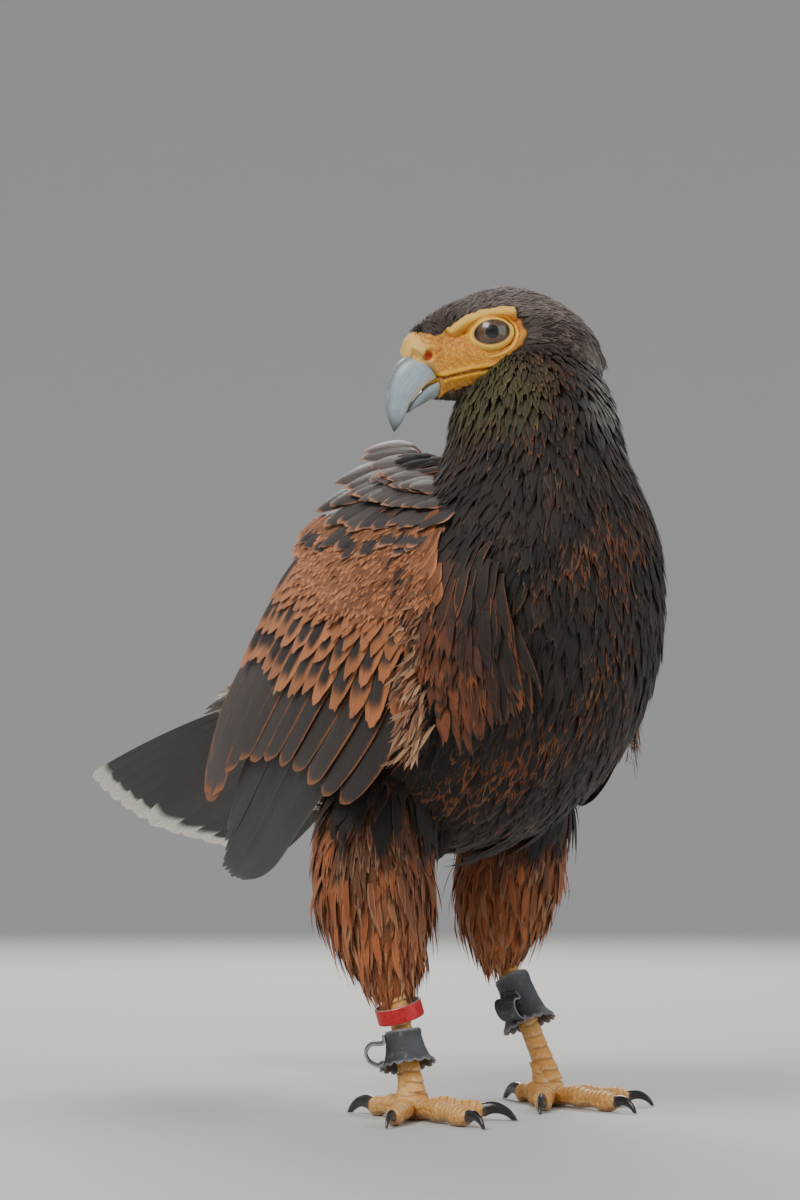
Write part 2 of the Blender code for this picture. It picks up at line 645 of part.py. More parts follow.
def wing_tier(tier, side, finish="plumage_dark"):
    """One tier of vanes between its root line and its tip line on the wing's map."""
    roots, tips, count, half, root_height, tip_height, stations = tier
    t, share = vane_shape(stations)
    made = []
    for s in (np.arange(count) + 0.5) / count:
        root, tip = through(roots, s), through(tips, s)
        u, v = root[0] + (tip[0] - root[0]) * t, root[1] + (tip[1] - root[1]) * t
        at, _, _, out = wing_frame(u, v)
        path = at + out * (root_height + (tip_height - root_height) * np.sqrt(t))[:, None]
        ahead = unit(np.gradient(path, axis=0))
        lower = unit(np.cross(out, ahead))
        up = np.cross(ahead, lower)
        side_way = lower * math.cos(WING_ROLL) + up * math.sin(WING_ROLL)
        normal = up * math.cos(WING_ROLL) - lower * math.sin(WING_ROLL)
        if side > 0:
            path = on_side(path, side)
            side_way, normal = side_way * (-1, 1, 1), normal * (-1, 1, 1)
        made.append(vane(path, side_way, normal, half * share, VANE, finish))
    return made


def build_wing(side, name):
    pieces = [wing_core(side)]
    for tier in (PRIMARIES, SECONDARIES, GREATER_COVERTS, MEDIAN_COVERTS, SCAPULARS):
        pieces += wing_tier(tier, side)
    fuse(name, pieces)


def tail_axes():
    """The tail's own axes: towards the tip, across to the left, and up from its upper face."""
    level = np.array([math.cos(TAIL_SWING), -math.sin(TAIL_SWING), 0.0])
    flat = np.array([math.sin(TAIL_SWING), math.cos(TAIL_SWING), 0.0])
    back = flat * math.cos(TAIL_DROP) - np.array([0.0, 0.0, math.sin(TAIL_DROP)])
    up = np.cross(level, back)
    across = level * math.cos(TAIL_ROLL) - up * math.sin(TAIL_ROLL)
    return np.array([back, across, np.cross(across, back)])


def in_tail(points):
    return np.asarray(points, float) @ tail_axes() + TAIL_ROOT


def tail_fan(count, start, end, spread, half, height, stations, step=TAIL_STEP):
    """Vanes that fan out from the tail's root. The middle pair lies on top, each next rank a step
    lower and a little shorter, as in a closed tail."""
    t, share = vane_shape(stations)
    made = []
    for i in range(count):
        place = (i - (count - 1) / 2) / ((count - 1) / 2)
        rank = abs(place) * (count - 1) / 2 + (0.5 if place > 0 else 0.0)
        heading = place * spread
        way = np.array([math.cos(heading), math.sin(heading), 0.0])
        base = np.array([start, place * TAIL_BASE_HALF, 0.0])
        reach = (end - start) * (1 - 0.10 * place * place)
        path = base + way * (t * reach)[:, None]
        path[:, 2] = height - rank * step - 0.006 * t * place * place
        across = np.array([-way[1], way[0], 0.0])
        axes = tail_axes()
        made.append(vane(in_tail(path), np.broadcast_to(across @ axes, (len(t), 3)),
                         np.broadcast_to(axes[2], (len(t), 3)), half * share, VANE, "plumage_dark"))
    return made


def build_tail():
    """Twelve tail feathers over a fleshy root, with coverts above and below their bases."""
    pieces = [ball("root", in_tail((0.022, 0.0, -0.001)), [0.036, 0.021, 0.0125], tail_axes(),
                   segments=14, rings=8)]
    pieces += tail_fan(12, 0.006, TAIL_LENGTH, TAIL_SPREAD, 0.0135, 0.0040, 5)
    pieces += tail_fan(4, 0.004, 0.074, math.radians(12), 0.0120, 0.0080, 4, 0.0009)
    pieces += tail_fan(4, 0.004, 0.092, math.radians(11), 0.0130, -0.0092, 4, 0.0009)
    tail = fuse("tail", pieces)
    carve(tail, [trunk_object("rump", GAP)])


def shank_rings(hock, foot, grow=0.0, lower=None, upper=0.0, sides=10):
    """Rings of one bare shank, with overlapping scutes raised on its front."""
    scutes = 9
    hock = np.asarray(hock, float)
    sole = np.array([foot[0], foot[1], ANKLE_Z])
    t = np.repeat(np.linspace(0, 1, scutes + 1), 2)[1:-1] + np.tile([1e-3, -1e-3], scutes)
    raised = np.tile([0.0005, 0.0], scutes)
    path = hock + (sole - hock) * t[:, None]
    bow = np.sin(np.pi * t)[:, None] * np.array([0.0, 0.0006, 0.0])
    path = path + bow
    ahead = unit(sole - hock)
    side_way = unit(np.cross(ahead, [0.0, -1.0, 0.0]))
    front = np.cross(side_way, ahead)
    front = front if front[1] < 0 else -front
    angle = np.linspace(0, 2 * np.pi, sides, endpoint=False)
    radius = TARSUS_RADIUS * (1 + 0.18 * (2 * t - 1) ** 4) + grow
    face = np.clip(np.cos(angle), 0, 1)[None] * raised[:, None]
    spread = radius[:, None] + face
    return path[:, None] + (np.cos(angle) * spread * 1.12)[..., None] * front + (
        np.sin(angle) * spread * 0.94)[..., None] * side_way


def build_shank(name, hock, foot):
    add_object(name, *rings_to_mesh(shank_rings(hock, foot)), "leg_skin")


def thigh_rings(stations):
    t = np.linspace(0, 1, 9)
    x, y, z, half, deep = through(stations, t).T
    angle = np.linspace(0, 2 * np.pi, 18, endpoint=False)
    return np.stack([x[:, None] + half[:, None] * np.sin(angle), y[:, None] + deep[:, None] * np.cos(angle),
                     np.broadcast_to(z[:, None], (9, 18))], axis=2)


def lock(stations, low, angle, length):
    """One tapered lock of the shaggy hem, from inside the thigh's skin down past it."""
    x, y, z, half, deep = through(stations, low)
    out = np.array([math.sin(angle), math.cos(angle), 0.0])
    skin = np.array([x + half * out[0] * 0.90, y + deep * out[1] * 0.90, z])
    down = unit(np.array([0.0, 0.0, -1.0]) + out * 0.10)
    side = np.cross(down, out)
    path = skin + down * (np.array([-0.006, 0.35 * length, length]))[:, None]
    half_width = np.array([0.0042, 0.0044, 0.0006])
    deep_half = np.array([0.0016, 0.0016, 0.0005])
    rings = np.stack([path + side * half_width[:, None], path + out * deep_half[:, None],
                      path - side * half_width[:, None], path - out * deep_half[:, None]], 1)
    return add_object("lock", *rings_to_mesh(rings), "plumage_rufous")


def build_thigh(side, name, stations, hock, foot):
    """One feathered thigh, cut where it meets the torso, with a socket for the shank."""
    rings = thigh_rings(stations)
    pieces = [add_object(name, *rings_to_mesh(rings), "plumage_rufous")]
    for low, length, turn in ((0.82, 0.013, 0.0), (0.93, 0.009, 0.5)):
        for k in range(LOCKS):
            angle = 2 * math.pi * (k + turn) / LOCKS
            pieces.append(lock(stations, low, angle, length * (1 + 0.18 * math.cos(3 * angle + low))))
    thigh = fuse(name, pieces)
    socket = add_object("socket", *rings_to_mesh(shank_rings(hock, foot, GAP + 0.0002)), "leg_skin")
    carve(thigh, [trunk_object("flank", GAP), wing_pocket(side), socket])


def toe_rings(start, heading, length, radius, scutes, sides=8):
    """Rings of one toe: scutes raised on top, pads below that are flat where they meet the floor."""
    t = np.repeat(np.linspace(0, 1, scutes + 1), 2)[1:-1] + np.tile([2e-3, -2e-3], scutes)
    raised = np.tile([0.0006, 0.0], scutes)
    way = np.array([math.cos(heading), math.sin(heading), 0.0])
    side = np.array([-way[1], way[0], 0.0])
    path = start + way * (t * length)[:, None]
    girth = radius * (1.0 + 0.12 * np.cos(2 * np.pi * t * 2.5) - 0.18 * t)
    arch = 0.0022 * np.sin(np.pi * t) * (1 - t)
    path[:, 2] = TOE_Z + arch
    angle = np.linspace(0, 2 * np.pi, sides, endpoint=False)
    up = np.cos(angle)
    lift = np.clip(up, 0, 1)[None] * raised[:, None]
    rings = path[:, None] + (np.sin(angle) * girth[:, None])[..., None] * side + (
        up * girth[:, None] + lift)[..., None] * np.array([0, 0, 1.0])
    rings[..., 2] = np.maximum(rings[..., 2], 0.0)
    return rings


def claw(name, base, way, length, radius, turn):
    """One curved talon: a tapering horn along an arc that bends down, cut clear of the floor."""
    t = np.linspace(0, 1, 7)
    bend = turn * t
    step = length / 6
    forward = np.concatenate([[0], np.cumsum(np.cos(bend[:-1] + turn / 12 - 0.45) * step)])
    rise = np.concatenate([[0], np.cumsum(-np.sin(bend[:-1] + turn / 12 - 0.45) * step)])
    up = np.array([0, 0, 1.0])
    side = np.cross(up, way)
    path = base + way * forward[:, None] + up * rise[:, None]
    tilt = np.gradient(path, axis=0)
    tilt[0] = way
    ahead = unit(tilt)
    lift = np.cross(ahead, side)
    girth = radius * (1 - t) ** 0.8
    girth[-1] = radius * 0.08
    angle = np.linspace(0, 2 * np.pi, 8, endpoint=False)
    rings = path[:, None] + girth[:, None, None] * (
        np.cos(angle)[None, :, None] * lift[:, None] * 1.15 + np.sin(angle)[None, :, None] * side * 0.8)
    rings[..., 2] = np.maximum(rings[..., 2], 0.0004)
    return add_object(name, *rings_to_mesh(rings), "claw_horn")


def on_floor(obj):
    """Presses what would sink below the floor flat onto it."""
    for vertex in obj.data.vertices:
        vertex.co.z = max(vertex.co.z, 0.0)
    return obj


def build_foot(side, name, foot, hock):
    """The four toes fused to a palm that meets the shank, and a claw on each toe."""
    shank = shank_rings(hock, foot)
    end = shank[-1].mean(0)
    away = unit(end - shank[0].mean(0))
    face = shank[-1] - away * ((shank[-1] - end) @ away)[:, None]
    collar = face + away * (GAP + 0.0002)
    palm_top = np.array([collar, collar + away * 0.004])
    pieces = [on_floor(ball("palm", np.array([foot[0], foot[1], 0.0054]),
                            [0.0068, 0.0078, 0.0062], None, "leg_skin", 14, 9)),
              add_object("collar", *rings_to_mesh(palm_top), "leg_skin")]
    for toe, outwards, length, radius, scutes, claw_length, claw_radius in TOES:
        heading = math.radians(-90 + side * outwards)
        way = np.array([math.cos(heading), math.sin(heading), 0.0])
        start = np.array([foot[0], foot[1], 0.0]) + way * 0.003
        rings = toe_rings(start, heading, length, radius, scutes)
        pieces.append(add_object("toe", *rings_to_mesh(rings), "leg_skin"))
        tip = rings[-1].mean(0) + way * GAP
        tip[2] = max(tip[2], claw_radius * 1.15 + 0.0006)
        claw(f"claw_{toe}_{name}", tip, way, claw_length, claw_radius, math.radians(112))
    fuse(f"foot_{name}", pieces)


def tube_band(name, centre, axis, tilt_way, outlines, wall, finish, sides=16):
    """An open band: outlines of (radius, height) pairs around an axis, with the given wall."""
    axis = unit(axis)
    first = unit(np.cross(tilt_way, axis))
    second = np.cross(axis, first)
    angle = np.linspace(0, 2 * np.pi, sides, endpoint=False)
    loops = []
    for radius, height in [*outlines, *[(r - wall, h) for r, h in outlines[::-1]]]:
        loops.append(np.asarray(centre) + axis * height + radius * (
            np.cos(angle)[:, None] * first + np.sin(angle)[:, None] * second))
    loops = np.array(loops)
    count = len(loops)
    points = loops.reshape(-1, 3)
    faces = [(i * sides + j, i * sides + (j + 1) % sides,
              (i + 1) % count * sides + (j + 1) % sides, (i + 1) % count * sides + j)
             for i in range(count) for j in range(sides)]
    return add_object(name, points, faces, finish)


def shank_point(hock, foot, z):
    """Centre of a shank at a height, and the shank's upward line."""
    hock, sole = np.asarray(hock, float), np.array([foot[0], foot[1], ANKLE_Z])
    share = (z - sole[2]) / (hock[2] - sole[2])
    return sole + (hock - sole) * share, unit(hock - sole)


def build_worn():
    """The leather anklets on both shanks and the numbered ring's plain band above the right one."""
    for name, hock, foot, (low, high) in (("right", HOCK_RIGHT, FOOT_RIGHT, ANKLET_RIGHT_Z),
                                          ("left", HOCK_LEFT, FOOT_LEFT, ANKLET_LEFT_Z)):
        middle, line = shank_point(hock, foot, (low + high) / 2)
        reach = (high - low) / 2
        outline = [(ANKLET_LOW_R + 0.0016, -reach), (ANKLET_LOW_R - 0.001, -reach * 0.55),
                   (ANKLET_TOP_R + 0.0008, 0.0), (ANKLET_TOP_R, reach * 0.6), (ANKLET_TOP_R + 0.0004, reach)]
        band = tube_band("band", middle, line, [1.0, 0, 0], outline, ANKLET_WALL, "anklet_leather")
        away = unit(np.array([-0.9, -0.45, 0.0]) if name == "left" else np.array([-0.8, 0.6, 0.0]))
        fold = middle - line * reach * 0.25 + away * (ANKLET_TOP_R + TAB_RADIUS)
        across = unit(np.cross(away, line))
        tab = tube_band("tab", fold, unit(line * 0.35 + across), away,
                        [(TAB_RADIUS, -TAB_WIDTH / 2), (TAB_RADIUS, TAB_WIDTH / 2)], ANKLET_WALL,
                        "anklet_leather", 14)
        fuse(f"anklet_{name}", [band, tab])
    middle, line = shank_point(HOCK_RIGHT, FOOT_RIGHT, RING_Z)
    axis = line * math.cos(RING_TILT) + np.array([-0.8, 0.6, 0]) * math.sin(RING_TILT)
    half = RING_HEIGHT / 2
    tube_band("leg_ring", middle, axis, [1.0, 0, 0],
              [(RING_OUTER, -half), (RING_OUTER, half)], RING_WALL, "ring_red")


def finish_table():
    """Principled finishes from the photograph: colour, roughness, metallic."""
    table = {
        "plumage_dark": ((0.045, 0.032, 0.026), 0.75, 0.0),
        "plumage_rufous": ((0.30, 0.10, 0.045), 0.75, 0.0),
        "facial_skin": ((0.80, 0.42, 0.05), 0.55, 0.0),
        "bill_horn": ((0.30, 0.36, 0.42), 0.35, 0.0),
        "eye": ((0.05, 0.025, 0.012), 0.08, 0.0),
        "leg_skin": ((0.75, 0.45, 0.16), 0.6, 0.0),
        "claw_horn": ((0.02, 0.02, 0.022), 0.3, 0.0),
        "anklet_leather": ((0.07, 0.07, 0.075), 0.7, 0.0),
        "ring_red": ((0.55, 0.02, 0.03), 0.4, 0.0),
    }
    made = {}
    for name, (colour, rough, metal) in table.items():
        material = bpy.data.materials.new(name)
        material.use_nodes = True
        shader = material.node_tree.nodes["Principled BSDF"]
        shader.inputs["Base Color"].default_value = (*colour, 1.0)
        shader.inputs["Roughness"].default_value = rough
        shader.inputs["Metallic"].default_value = metal
        made[name] = material
    return made


def stand_and_group():
    """Parents every sub-part to one empty, which sets the origin under the middle of the bird."""
    parts = [obj for obj in bpy.data.objects if obj.type == "MESH"]
    corners = np.array([v.co for obj in parts for v in obj.data.vertices])
    low, high = corners.min(0), corners.max(0)
    hawk = bpy.data.objects.new("harris_hawk", None)
    hawk.location = (-(low[0] + high[0]) / 2, -(low[1] + high[1]) / 2, 0.0)
    bpy.context.scene.collection.objects.link(hawk)
    for obj in parts:
        obj.parent = hawk
        obj.data.shade_smooth()
        obj.data.set_sharp_from_angle(angle=math.radians(50))
    print("size", (high - low).round(4), "origin moved by", np.round(hawk.location[:], 5),
          "right palm at", np.round(FOOT_RIGHT + np.array(hawk.location[:2]), 5))


def main():
    for obj in list(bpy.data.objects):
        bpy.data.objects.remove(obj)
    MATERIALS.update(finish_table())
    build_head_and_body()
    for side, name in ((-1, "right"), (1, "left")):
        build_wing(side, f"wing_{name}")
    build_tail()
    for side, name, thigh, hock, foot in (
            (-1, "right", THIGH_RIGHT, HOCK_RIGHT, FOOT_RIGHT),
            (1, "left", THIGH_LEFT, HOCK_LEFT, FOOT_LEFT)):
        build_thigh(side, f"thigh_{name}", thigh, hock, foot)
        build_shank(f"shank_{name}", hock, foot)
        build_foot(side, name, foot, hock)
    build_worn()
    stand_and_group()


MATERIALS = {}
main()
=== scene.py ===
# %% [markdown]
# A harris hawk stands on a pale studio floor at life size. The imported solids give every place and
# size. This script dresses them: one skin under the plumage, thousands of separate feathers laid
# over it in their real tiers, and finer eyes, bill, feet and worn things.
# The fixed frame is loaded first, because every later piece is placed from its boxes.

# %% Load the frame
import math

import bmesh
import bpy
import numpy as np
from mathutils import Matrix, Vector


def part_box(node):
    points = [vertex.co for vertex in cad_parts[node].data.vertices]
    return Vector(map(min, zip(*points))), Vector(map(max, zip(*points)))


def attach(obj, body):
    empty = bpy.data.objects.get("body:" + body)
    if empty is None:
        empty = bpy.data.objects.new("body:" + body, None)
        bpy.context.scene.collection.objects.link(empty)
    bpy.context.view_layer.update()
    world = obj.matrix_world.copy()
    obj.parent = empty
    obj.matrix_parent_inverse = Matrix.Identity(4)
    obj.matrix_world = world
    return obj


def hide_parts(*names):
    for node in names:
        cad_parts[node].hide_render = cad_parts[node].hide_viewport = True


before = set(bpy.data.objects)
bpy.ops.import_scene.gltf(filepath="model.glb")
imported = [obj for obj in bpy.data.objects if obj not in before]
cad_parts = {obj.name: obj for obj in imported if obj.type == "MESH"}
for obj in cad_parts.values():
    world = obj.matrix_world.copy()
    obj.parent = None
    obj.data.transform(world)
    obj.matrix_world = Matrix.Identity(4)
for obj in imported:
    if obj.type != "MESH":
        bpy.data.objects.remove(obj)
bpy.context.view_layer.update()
chance = np.random.default_rng(11)

# %% [markdown]
# A bird's body is all flowing lines, so most forms here come from curves through a few stations.
# A spline that passes through its stations is easier to plan than one that is only pulled
# towards them, so each station can be a real measured place on the bird.

# %% Curves and directions
def through(stations, t):
    """Catmull-Rom curve: each span blends its two end stations and their neighbours by cubic
    weights of the place t in the span. Past the ends it runs straight on."""
    p = np.asarray(stations, float)
    spans = len(p) - 1
    p = np.vstack([2 * p[0] - p[1], p, 2 * p[-1] - p[-2]])
    t = np.asarray(t, float)
    inside = np.clip(t, 0, 1)
    x = inside * spans
    k = np.minimum(x.astype(int), spans - 1)
    f = (x - k)[..., None]
    a, b, c, d = p[k], p[k + 1], p[k + 2], p[k + 3]
    curve = 0.5 * (2 * b + (c - a) * f + (2 * a - 5 * b + 4 * c - d) * f**2
                   + (3 * b - a - 3 * c + d) * f**3)
    slope = 0.5 * ((c - a) + 2 * (2 * a - 5 * b + 4 * c - d) * f
                   + 3 * (3 * b - a - 3 * c + d) * f**2) * spans
    return curve + (t - inside)[..., None] * slope


def unit(v):
    """A vector divided by its own length."""
    v = np.asarray(v, float)
    return v / np.maximum(np.linalg.norm(v, axis=-1, keepdims=True), 1e-12)


def turns(count):
    """Angles in equal steps round one full turn."""
    return np.arange(count) / count * 2 * np.pi


def ease(x, low, high):
    """Smooth step: 0 below low, 1 above high, and 3s^2 - 2s^3 of the share s between them."""
    s = np.clip((np.asarray(x, float) - low) / (high - low), 0, 1)
    return s * s * (3 - 2 * s)


def waver(points, size, seed):
    """Soft noise from -1 to 1: the mean of six sine waves whose directions and lengths vary."""
    turn = np.random.default_rng(seed)
    ways = unit(turn.normal(size=(6, 3))) * turn.uniform(0.6, 1.5, (6, 1)) * 2 * np.pi / size
    return np.sin(np.asarray(points) @ ways.T + turn.uniform(0, 6.3, 6)).mean(-1) * 1.6


print("curve check", through([(0, 0), (1, 2), (3, 2)], 0.5))

# %% [markdown]
# The head has its own axes, because it is turned to the bird's right by almost ninety degrees.
# Its stations are written along those axes. The left eye's solid then shows how far the bird
# was moved when the whole model was set over the origin.

# %% The head's axes and the bird's place
HEAD_CENTRE = np.array([-0.0112, -0.0307, 0.3337])
HEAD_YAW, HEAD_PITCH = math.radians(163), math.radians(-2)
EYE_AT = (0.0096, 0.0142, 0.0008)     # along, aside, up
EYE_RADIUS = 0.0095


def head_axes():
    """Rows: ahead from yaw and pitch, the head's left side, and their cross product, up."""
    flat = np.array([math.cos(HEAD_YAW), math.sin(HEAD_YAW), 0.0])
    ahead = flat * math.cos(HEAD_PITCH) + np.array([0, 0, math.sin(HEAD_PITCH)])
    left = np.array([-flat[1], flat[0], 0.0])
    return np.array([ahead, left, np.cross(ahead, left)])


def in_head(points):
    """Head coordinates times the axes, plus the head's centre."""
    return np.asarray(points, float) @ head_axes() + HEAD_CENTRE


def to_head(points):
    """The inverse of in_head: the offset from the centre, measured along each axis."""
    return (np.asarray(points, float) - HEAD_CENTRE) @ head_axes().T


eye_low, eye_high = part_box("eye_left")
SHIFT = (np.array(eye_low) + np.array(eye_high)) / 2 - in_head(EYE_AT)
print("the bird stands", SHIFT.round(5), "from its own feet centre")

# %% [markdown]
# All new meshes are filled from whole arrays. One helper takes points, faces, UV maps and
# per-point values. It adds the shift once, so every object can stay at the origin.

# %% Meshes from arrays
def add_piece(name, points, faces, finish, maps=None, values=None, bodies="root"):
    """Fills a mesh from an array of points (n, 3) and one of faces (m, corners)."""
    mesh = bpy.data.meshes.new(name)
    points = np.asarray(points, float).reshape(-1, 3) + SHIFT
    faces = np.asarray(faces, np.int32)
    corners = faces.shape[1]
    mesh.vertices.add(len(points))
    mesh.vertices.foreach_set("co", points.astype(np.float32).ravel())
    mesh.loops.add(faces.size)
    mesh.loops.foreach_set("vertex_index", faces.ravel())
    mesh.polygons.add(len(faces))
    mesh.polygons.foreach_set("loop_start", np.arange(0, faces.size, corners, dtype=np.int32))
    mesh.polygons.foreach_set("loop_total", np.full(len(faces), corners, dtype=np.int32))
    for title, uv in (maps or {}).items():
        layer = mesh.uv_layers.new(name=title)
        layer.data.foreach_set("uv", uv.reshape(-1, 2)[faces.ravel()].astype(np.float32).ravel())
    mesh.update(calc_edges=True)
    mesh.validate()
    set_values(mesh, values or {})
    mesh.shade_smooth()
    mesh.materials.append(finish)
    obj = bpy.data.objects.new(name, mesh)
    bpy.context.collection.objects.link(obj)
    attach(obj, bodies)
    return obj


def set_values(mesh, values):
    """Writes one number, or one colour, for each point of a mesh."""
    for title, value in values.items():
        value = np.asarray(value, np.float32)
        if value.ndim > 1:
            colour = np.ones((len(mesh.vertices), 4), np.float32)
            colour[:, :3] = value.reshape(-1, 3)
            layer = mesh.attributes.new(title, "FLOAT_COLOR", "POINT")
            layer.data.foreach_set("color", colour.ravel())
        else:
            layer = mesh.attributes.new(title, "FLOAT", "POINT")
            layer.data.foreach_set("value", value.ravel())


print("every point moves by", (SHIFT * 1000).round(1), "mm")

# %% Grids and closed tubes
def quads(rows, cols, wrap=False):
    """Corner numbers of a grid's faces, in rows and columns. A wrapped grid closes its last column."""
    i, j = np.meshgrid(np.arange(rows - 1), np.arange(cols if wrap else cols - 1), indexing="ij")
    k = (j + 1) % cols
    return np.stack([i * cols + j, i * cols + k, (i + 1) * cols + k, (i + 1) * cols + j], -1).reshape(-1, 4)


def capped(rings, values):
    """Rings with a last one pulled almost onto its centre at each end. The values, which may be
    given for a row or a column alone, are spread over all the points."""
    ends = [rings[k].mean(0) + (rings[k] - rings[k].mean(0)) * 0.02 for k in (0, -1)]
    full = {key: np.broadcast_to(value, rings.shape[:2]) for key, value in values.items()}
    return (np.concatenate([ends[0][None], rings, ends[1][None]]),
            {key: np.concatenate([value[:1], value, value[-1:]]) for key, value in full.items()})


def add_tube(name, rings, finish, values):
    """A closed skin over rings (rows, around, 3)."""
    rings, values = capped(np.asarray(rings, float), values)
    faces = quads(*rings.shape[:2], True)
    obj = add_piece(name, rings, faces, finish, None, {key: value.ravel() for key, value in values.items()})
    face_outwards(obj, True)
    return obj


def face_outwards(obj, cap=False):
    """Fills the two small holes that are left at a tube's ends, then turns all faces outwards."""
    sheet = bmesh.new()
    sheet.from_mesh(obj.data)
    if cap:
        rim = [edge for edge in sheet.edges if edge.is_boundary]
        bmesh.ops.holes_fill(sheet, edges=rim, sides=0)
    bmesh.ops.recalc_face_normals(sheet, faces=sheet.faces)
    sheet.to_mesh(obj.data)
    sheet.free()
    obj.data.update()


print("a 3 by 4 wrapped grid has", len(quads(3, 4, True)), "faces")

# %% [markdown]
# The trunk, neck, head and thighs are egg-shaped loops along a line. Each is a function of two
# numbers: how far along it a point lies, and how far round. Feathers can then be rooted at a pair
# of numbers and follow the same surface, so that none floats or sinks.

# %% Surfaces of the body
# Trunk stations: y, z, half width, depth to the breast or belly, depth to the back
TRUNK = (
    (-0.030, 0.328, 0.023, 0.022, 0.026), (-0.037, 0.305, 0.035, 0.036, 0.034),
    (-0.039, 0.280, 0.041, 0.043, 0.039), (-0.036, 0.253, 0.058, 0.055, 0.050),
    (-0.026, 0.226, 0.067, 0.066, 0.053), (-0.010, 0.201, 0.069, 0.073, 0.053),
    (0.014, 0.185, 0.065, 0.073, 0.049), (0.042, 0.177, 0.057, 0.060, 0.045),
    (0.070, 0.175, 0.047, 0.044, 0.038), (0.096, 0.178, 0.038, 0.033, 0.030),
    (0.122, 0.176, 0.027, 0.019, 0.019),
)
# Head stations from nape to cere: place along the head, half width, top and bottom
HEAD = (
    (-0.0425, 0.0110, -0.001, -0.020), (-0.0390, 0.0165, 0.005, -0.026),
    (-0.0310, 0.0215, 0.0130, -0.031), (-0.0190, 0.0245, 0.0198, -0.033),
    (-0.0055, 0.0250, 0.0232, -0.031), (0.0060, 0.0230, 0.0222, -0.028),
    (0.0140, 0.0200, 0.0195, -0.0265), (0.0240, 0.0160, 0.0155, -0.0258),
    (0.0310, 0.0125, 0.0114, -0.0255), (0.0370, 0.0105, 0.0068, -0.0250),
    (0.0432, 0.0086, 0.0004, -0.0245),
)
# Thigh stations from hip to hem: x, y, z, half width, half depth
THIGHS = {
    "right": ((-0.034, 0.018, 0.150, 0.022, 0.030), (-0.040, 0.020, 0.130, 0.0245, 0.030),
              (-0.042, 0.022, 0.110, 0.0255, 0.0275), (-0.042, 0.021, 0.092, 0.0245, 0.0245),
              (-0.041, 0.018, 0.074, 0.0190, 0.0190), (-0.040, 0.013, 0.058, 0.0120, 0.0120)),
    "left": ((0.034, 0.030, 0.150, 0.022, 0.028), (0.040, 0.031, 0.132, 0.0240, 0.028),
             (0.042, 0.033, 0.114, 0.0235, 0.0265), (0.042, 0.036, 0.097, 0.0228, 0.0235),
             (0.040, 0.037, 0.083, 0.0190, 0.0185), (0.039, 0.037, 0.071, 0.0125, 0.0120)),
}


def trunk(u, v):
    """u runs from the neck's top to the rump. v turns from the breast's middle line over the left
    side to the back. Each loop is square to the trunk's line: centre + side * half width * sine
    + belly way * depth * cosine."""
    u, v = np.broadcast_arrays(np.asarray(u, float), np.asarray(v, float))
    y, z, half, front, back = np.moveaxis(through(TRUNK, u), -1, 0)
    half, front, back = (np.maximum(a, 0.010) for a in (half, front, back))
    line = through(TRUNK, u + 0.01)[..., :2] - through(TRUNK, u - 0.01)[..., :2]
    line = unit(line)
    across, along = np.sin(2 * np.pi * v), np.cos(2 * np.pi * v)
    depth = np.where(along > 0, front, back) * along
    return np.stack([half * across, y + line[..., 1] * depth, z - line[..., 0] * depth], -1)


def head(u, v):
    """u runs from the nape to the cere, v from the crown over the left cheek to the chin: an oval
    whose middle lies 0.52 of the way up from its low to its top line."""
    u, v = np.broadcast_arrays(np.asarray(u, float), np.asarray(v, float))
    along, half, top, low = np.moveaxis(through(HEAD, u), -1, 0)
    across, up = np.sin(2 * np.pi * v), np.cos(2 * np.pi * v)
    middle = low + (top - low) * 0.52
    height = np.where(up > 0, top - middle, middle - low)
    return in_head(np.stack([along, half * across, middle + height * up], -1))


def thigh(side):
    """The surface of one thigh: level ovals, u from the hip to the hem, v turning from behind."""
    def place(u, v):
        u, v = np.broadcast_arrays(np.asarray(u, float), np.asarray(v, float))
        x, y, z, half, deep = np.moveaxis(through(THIGHS[side], u), -1, 0)
        return np.stack([x + half * np.sin(2 * np.pi * v), y + deep * np.cos(2 * np.pi * v), z], -1)
    place.sign = -1
    return place


print("trunk at breast", trunk(0.45, 0.0).round(3), "crown", head(0.4, 0.0).round(3))

# %% [markdown]
# The folded wing is a bulged plate between two edge curves. The left wing is its mirror image,
# set a little further back. The tail is a flat fan that drops, leans and swings, so it gets axes
# of its own.

# %% Surfaces of the wings and the tail
WING_TOP = ((-0.044, -0.034, 0.273), (-0.053, 0.008, 0.269), (-0.062, 0.046, 0.250),
            (-0.069, 0.080, 0.213), (-0.072, 0.109, 0.175), (-0.067, 0.135, 0.140))
WING_LOW = ((-0.053, -0.073, 0.192), (-0.073, -0.041, 0.152), (-0.078, 0.003, 0.130),
            (-0.069, 0.052, 0.118), (-0.057, 0.098, 0.107), (-0.049, 0.136, 0.102))
WING_BULGE = 0.014
LEFT_WING_SHIFT = (-0.007, 0.018, 0.0)
TAIL_ROOT = (0.0, 0.106, 0.186)
TAIL_LENGTH, TAIL_HALF = 0.192, 0.012
TAIL_DROP, TAIL_ROLL, TAIL_SWING = math.radians(18), math.radians(23), math.radians(3)


def wing(side):
    """u runs from shoulder and wrist to the tips, v from the dorsal edge to the lower one: the
    straight blend of the two edges, plus bulge * 4v(1 - v), fading towards the tips."""
    def place(u, v):
        u, v = np.broadcast_arrays(np.asarray(u, float), np.asarray(v, float))
        flat = through(WING_TOP, u) * (1 - v)[..., None] + through(WING_LOW, u) * v[..., None]
        swell = WING_BULGE * 4 * v * (1 - v) * np.clip(1.15 - u, 0, 1)
        at = flat + swell[..., None] * unit(np.array([-1.0, -0.15, 0.1]))
        return at if side == "right" else at * (-1, 1, 1) + np.array(LEFT_WING_SHIFT)
    place.sign = 1 if side == "right" else -1
    return place


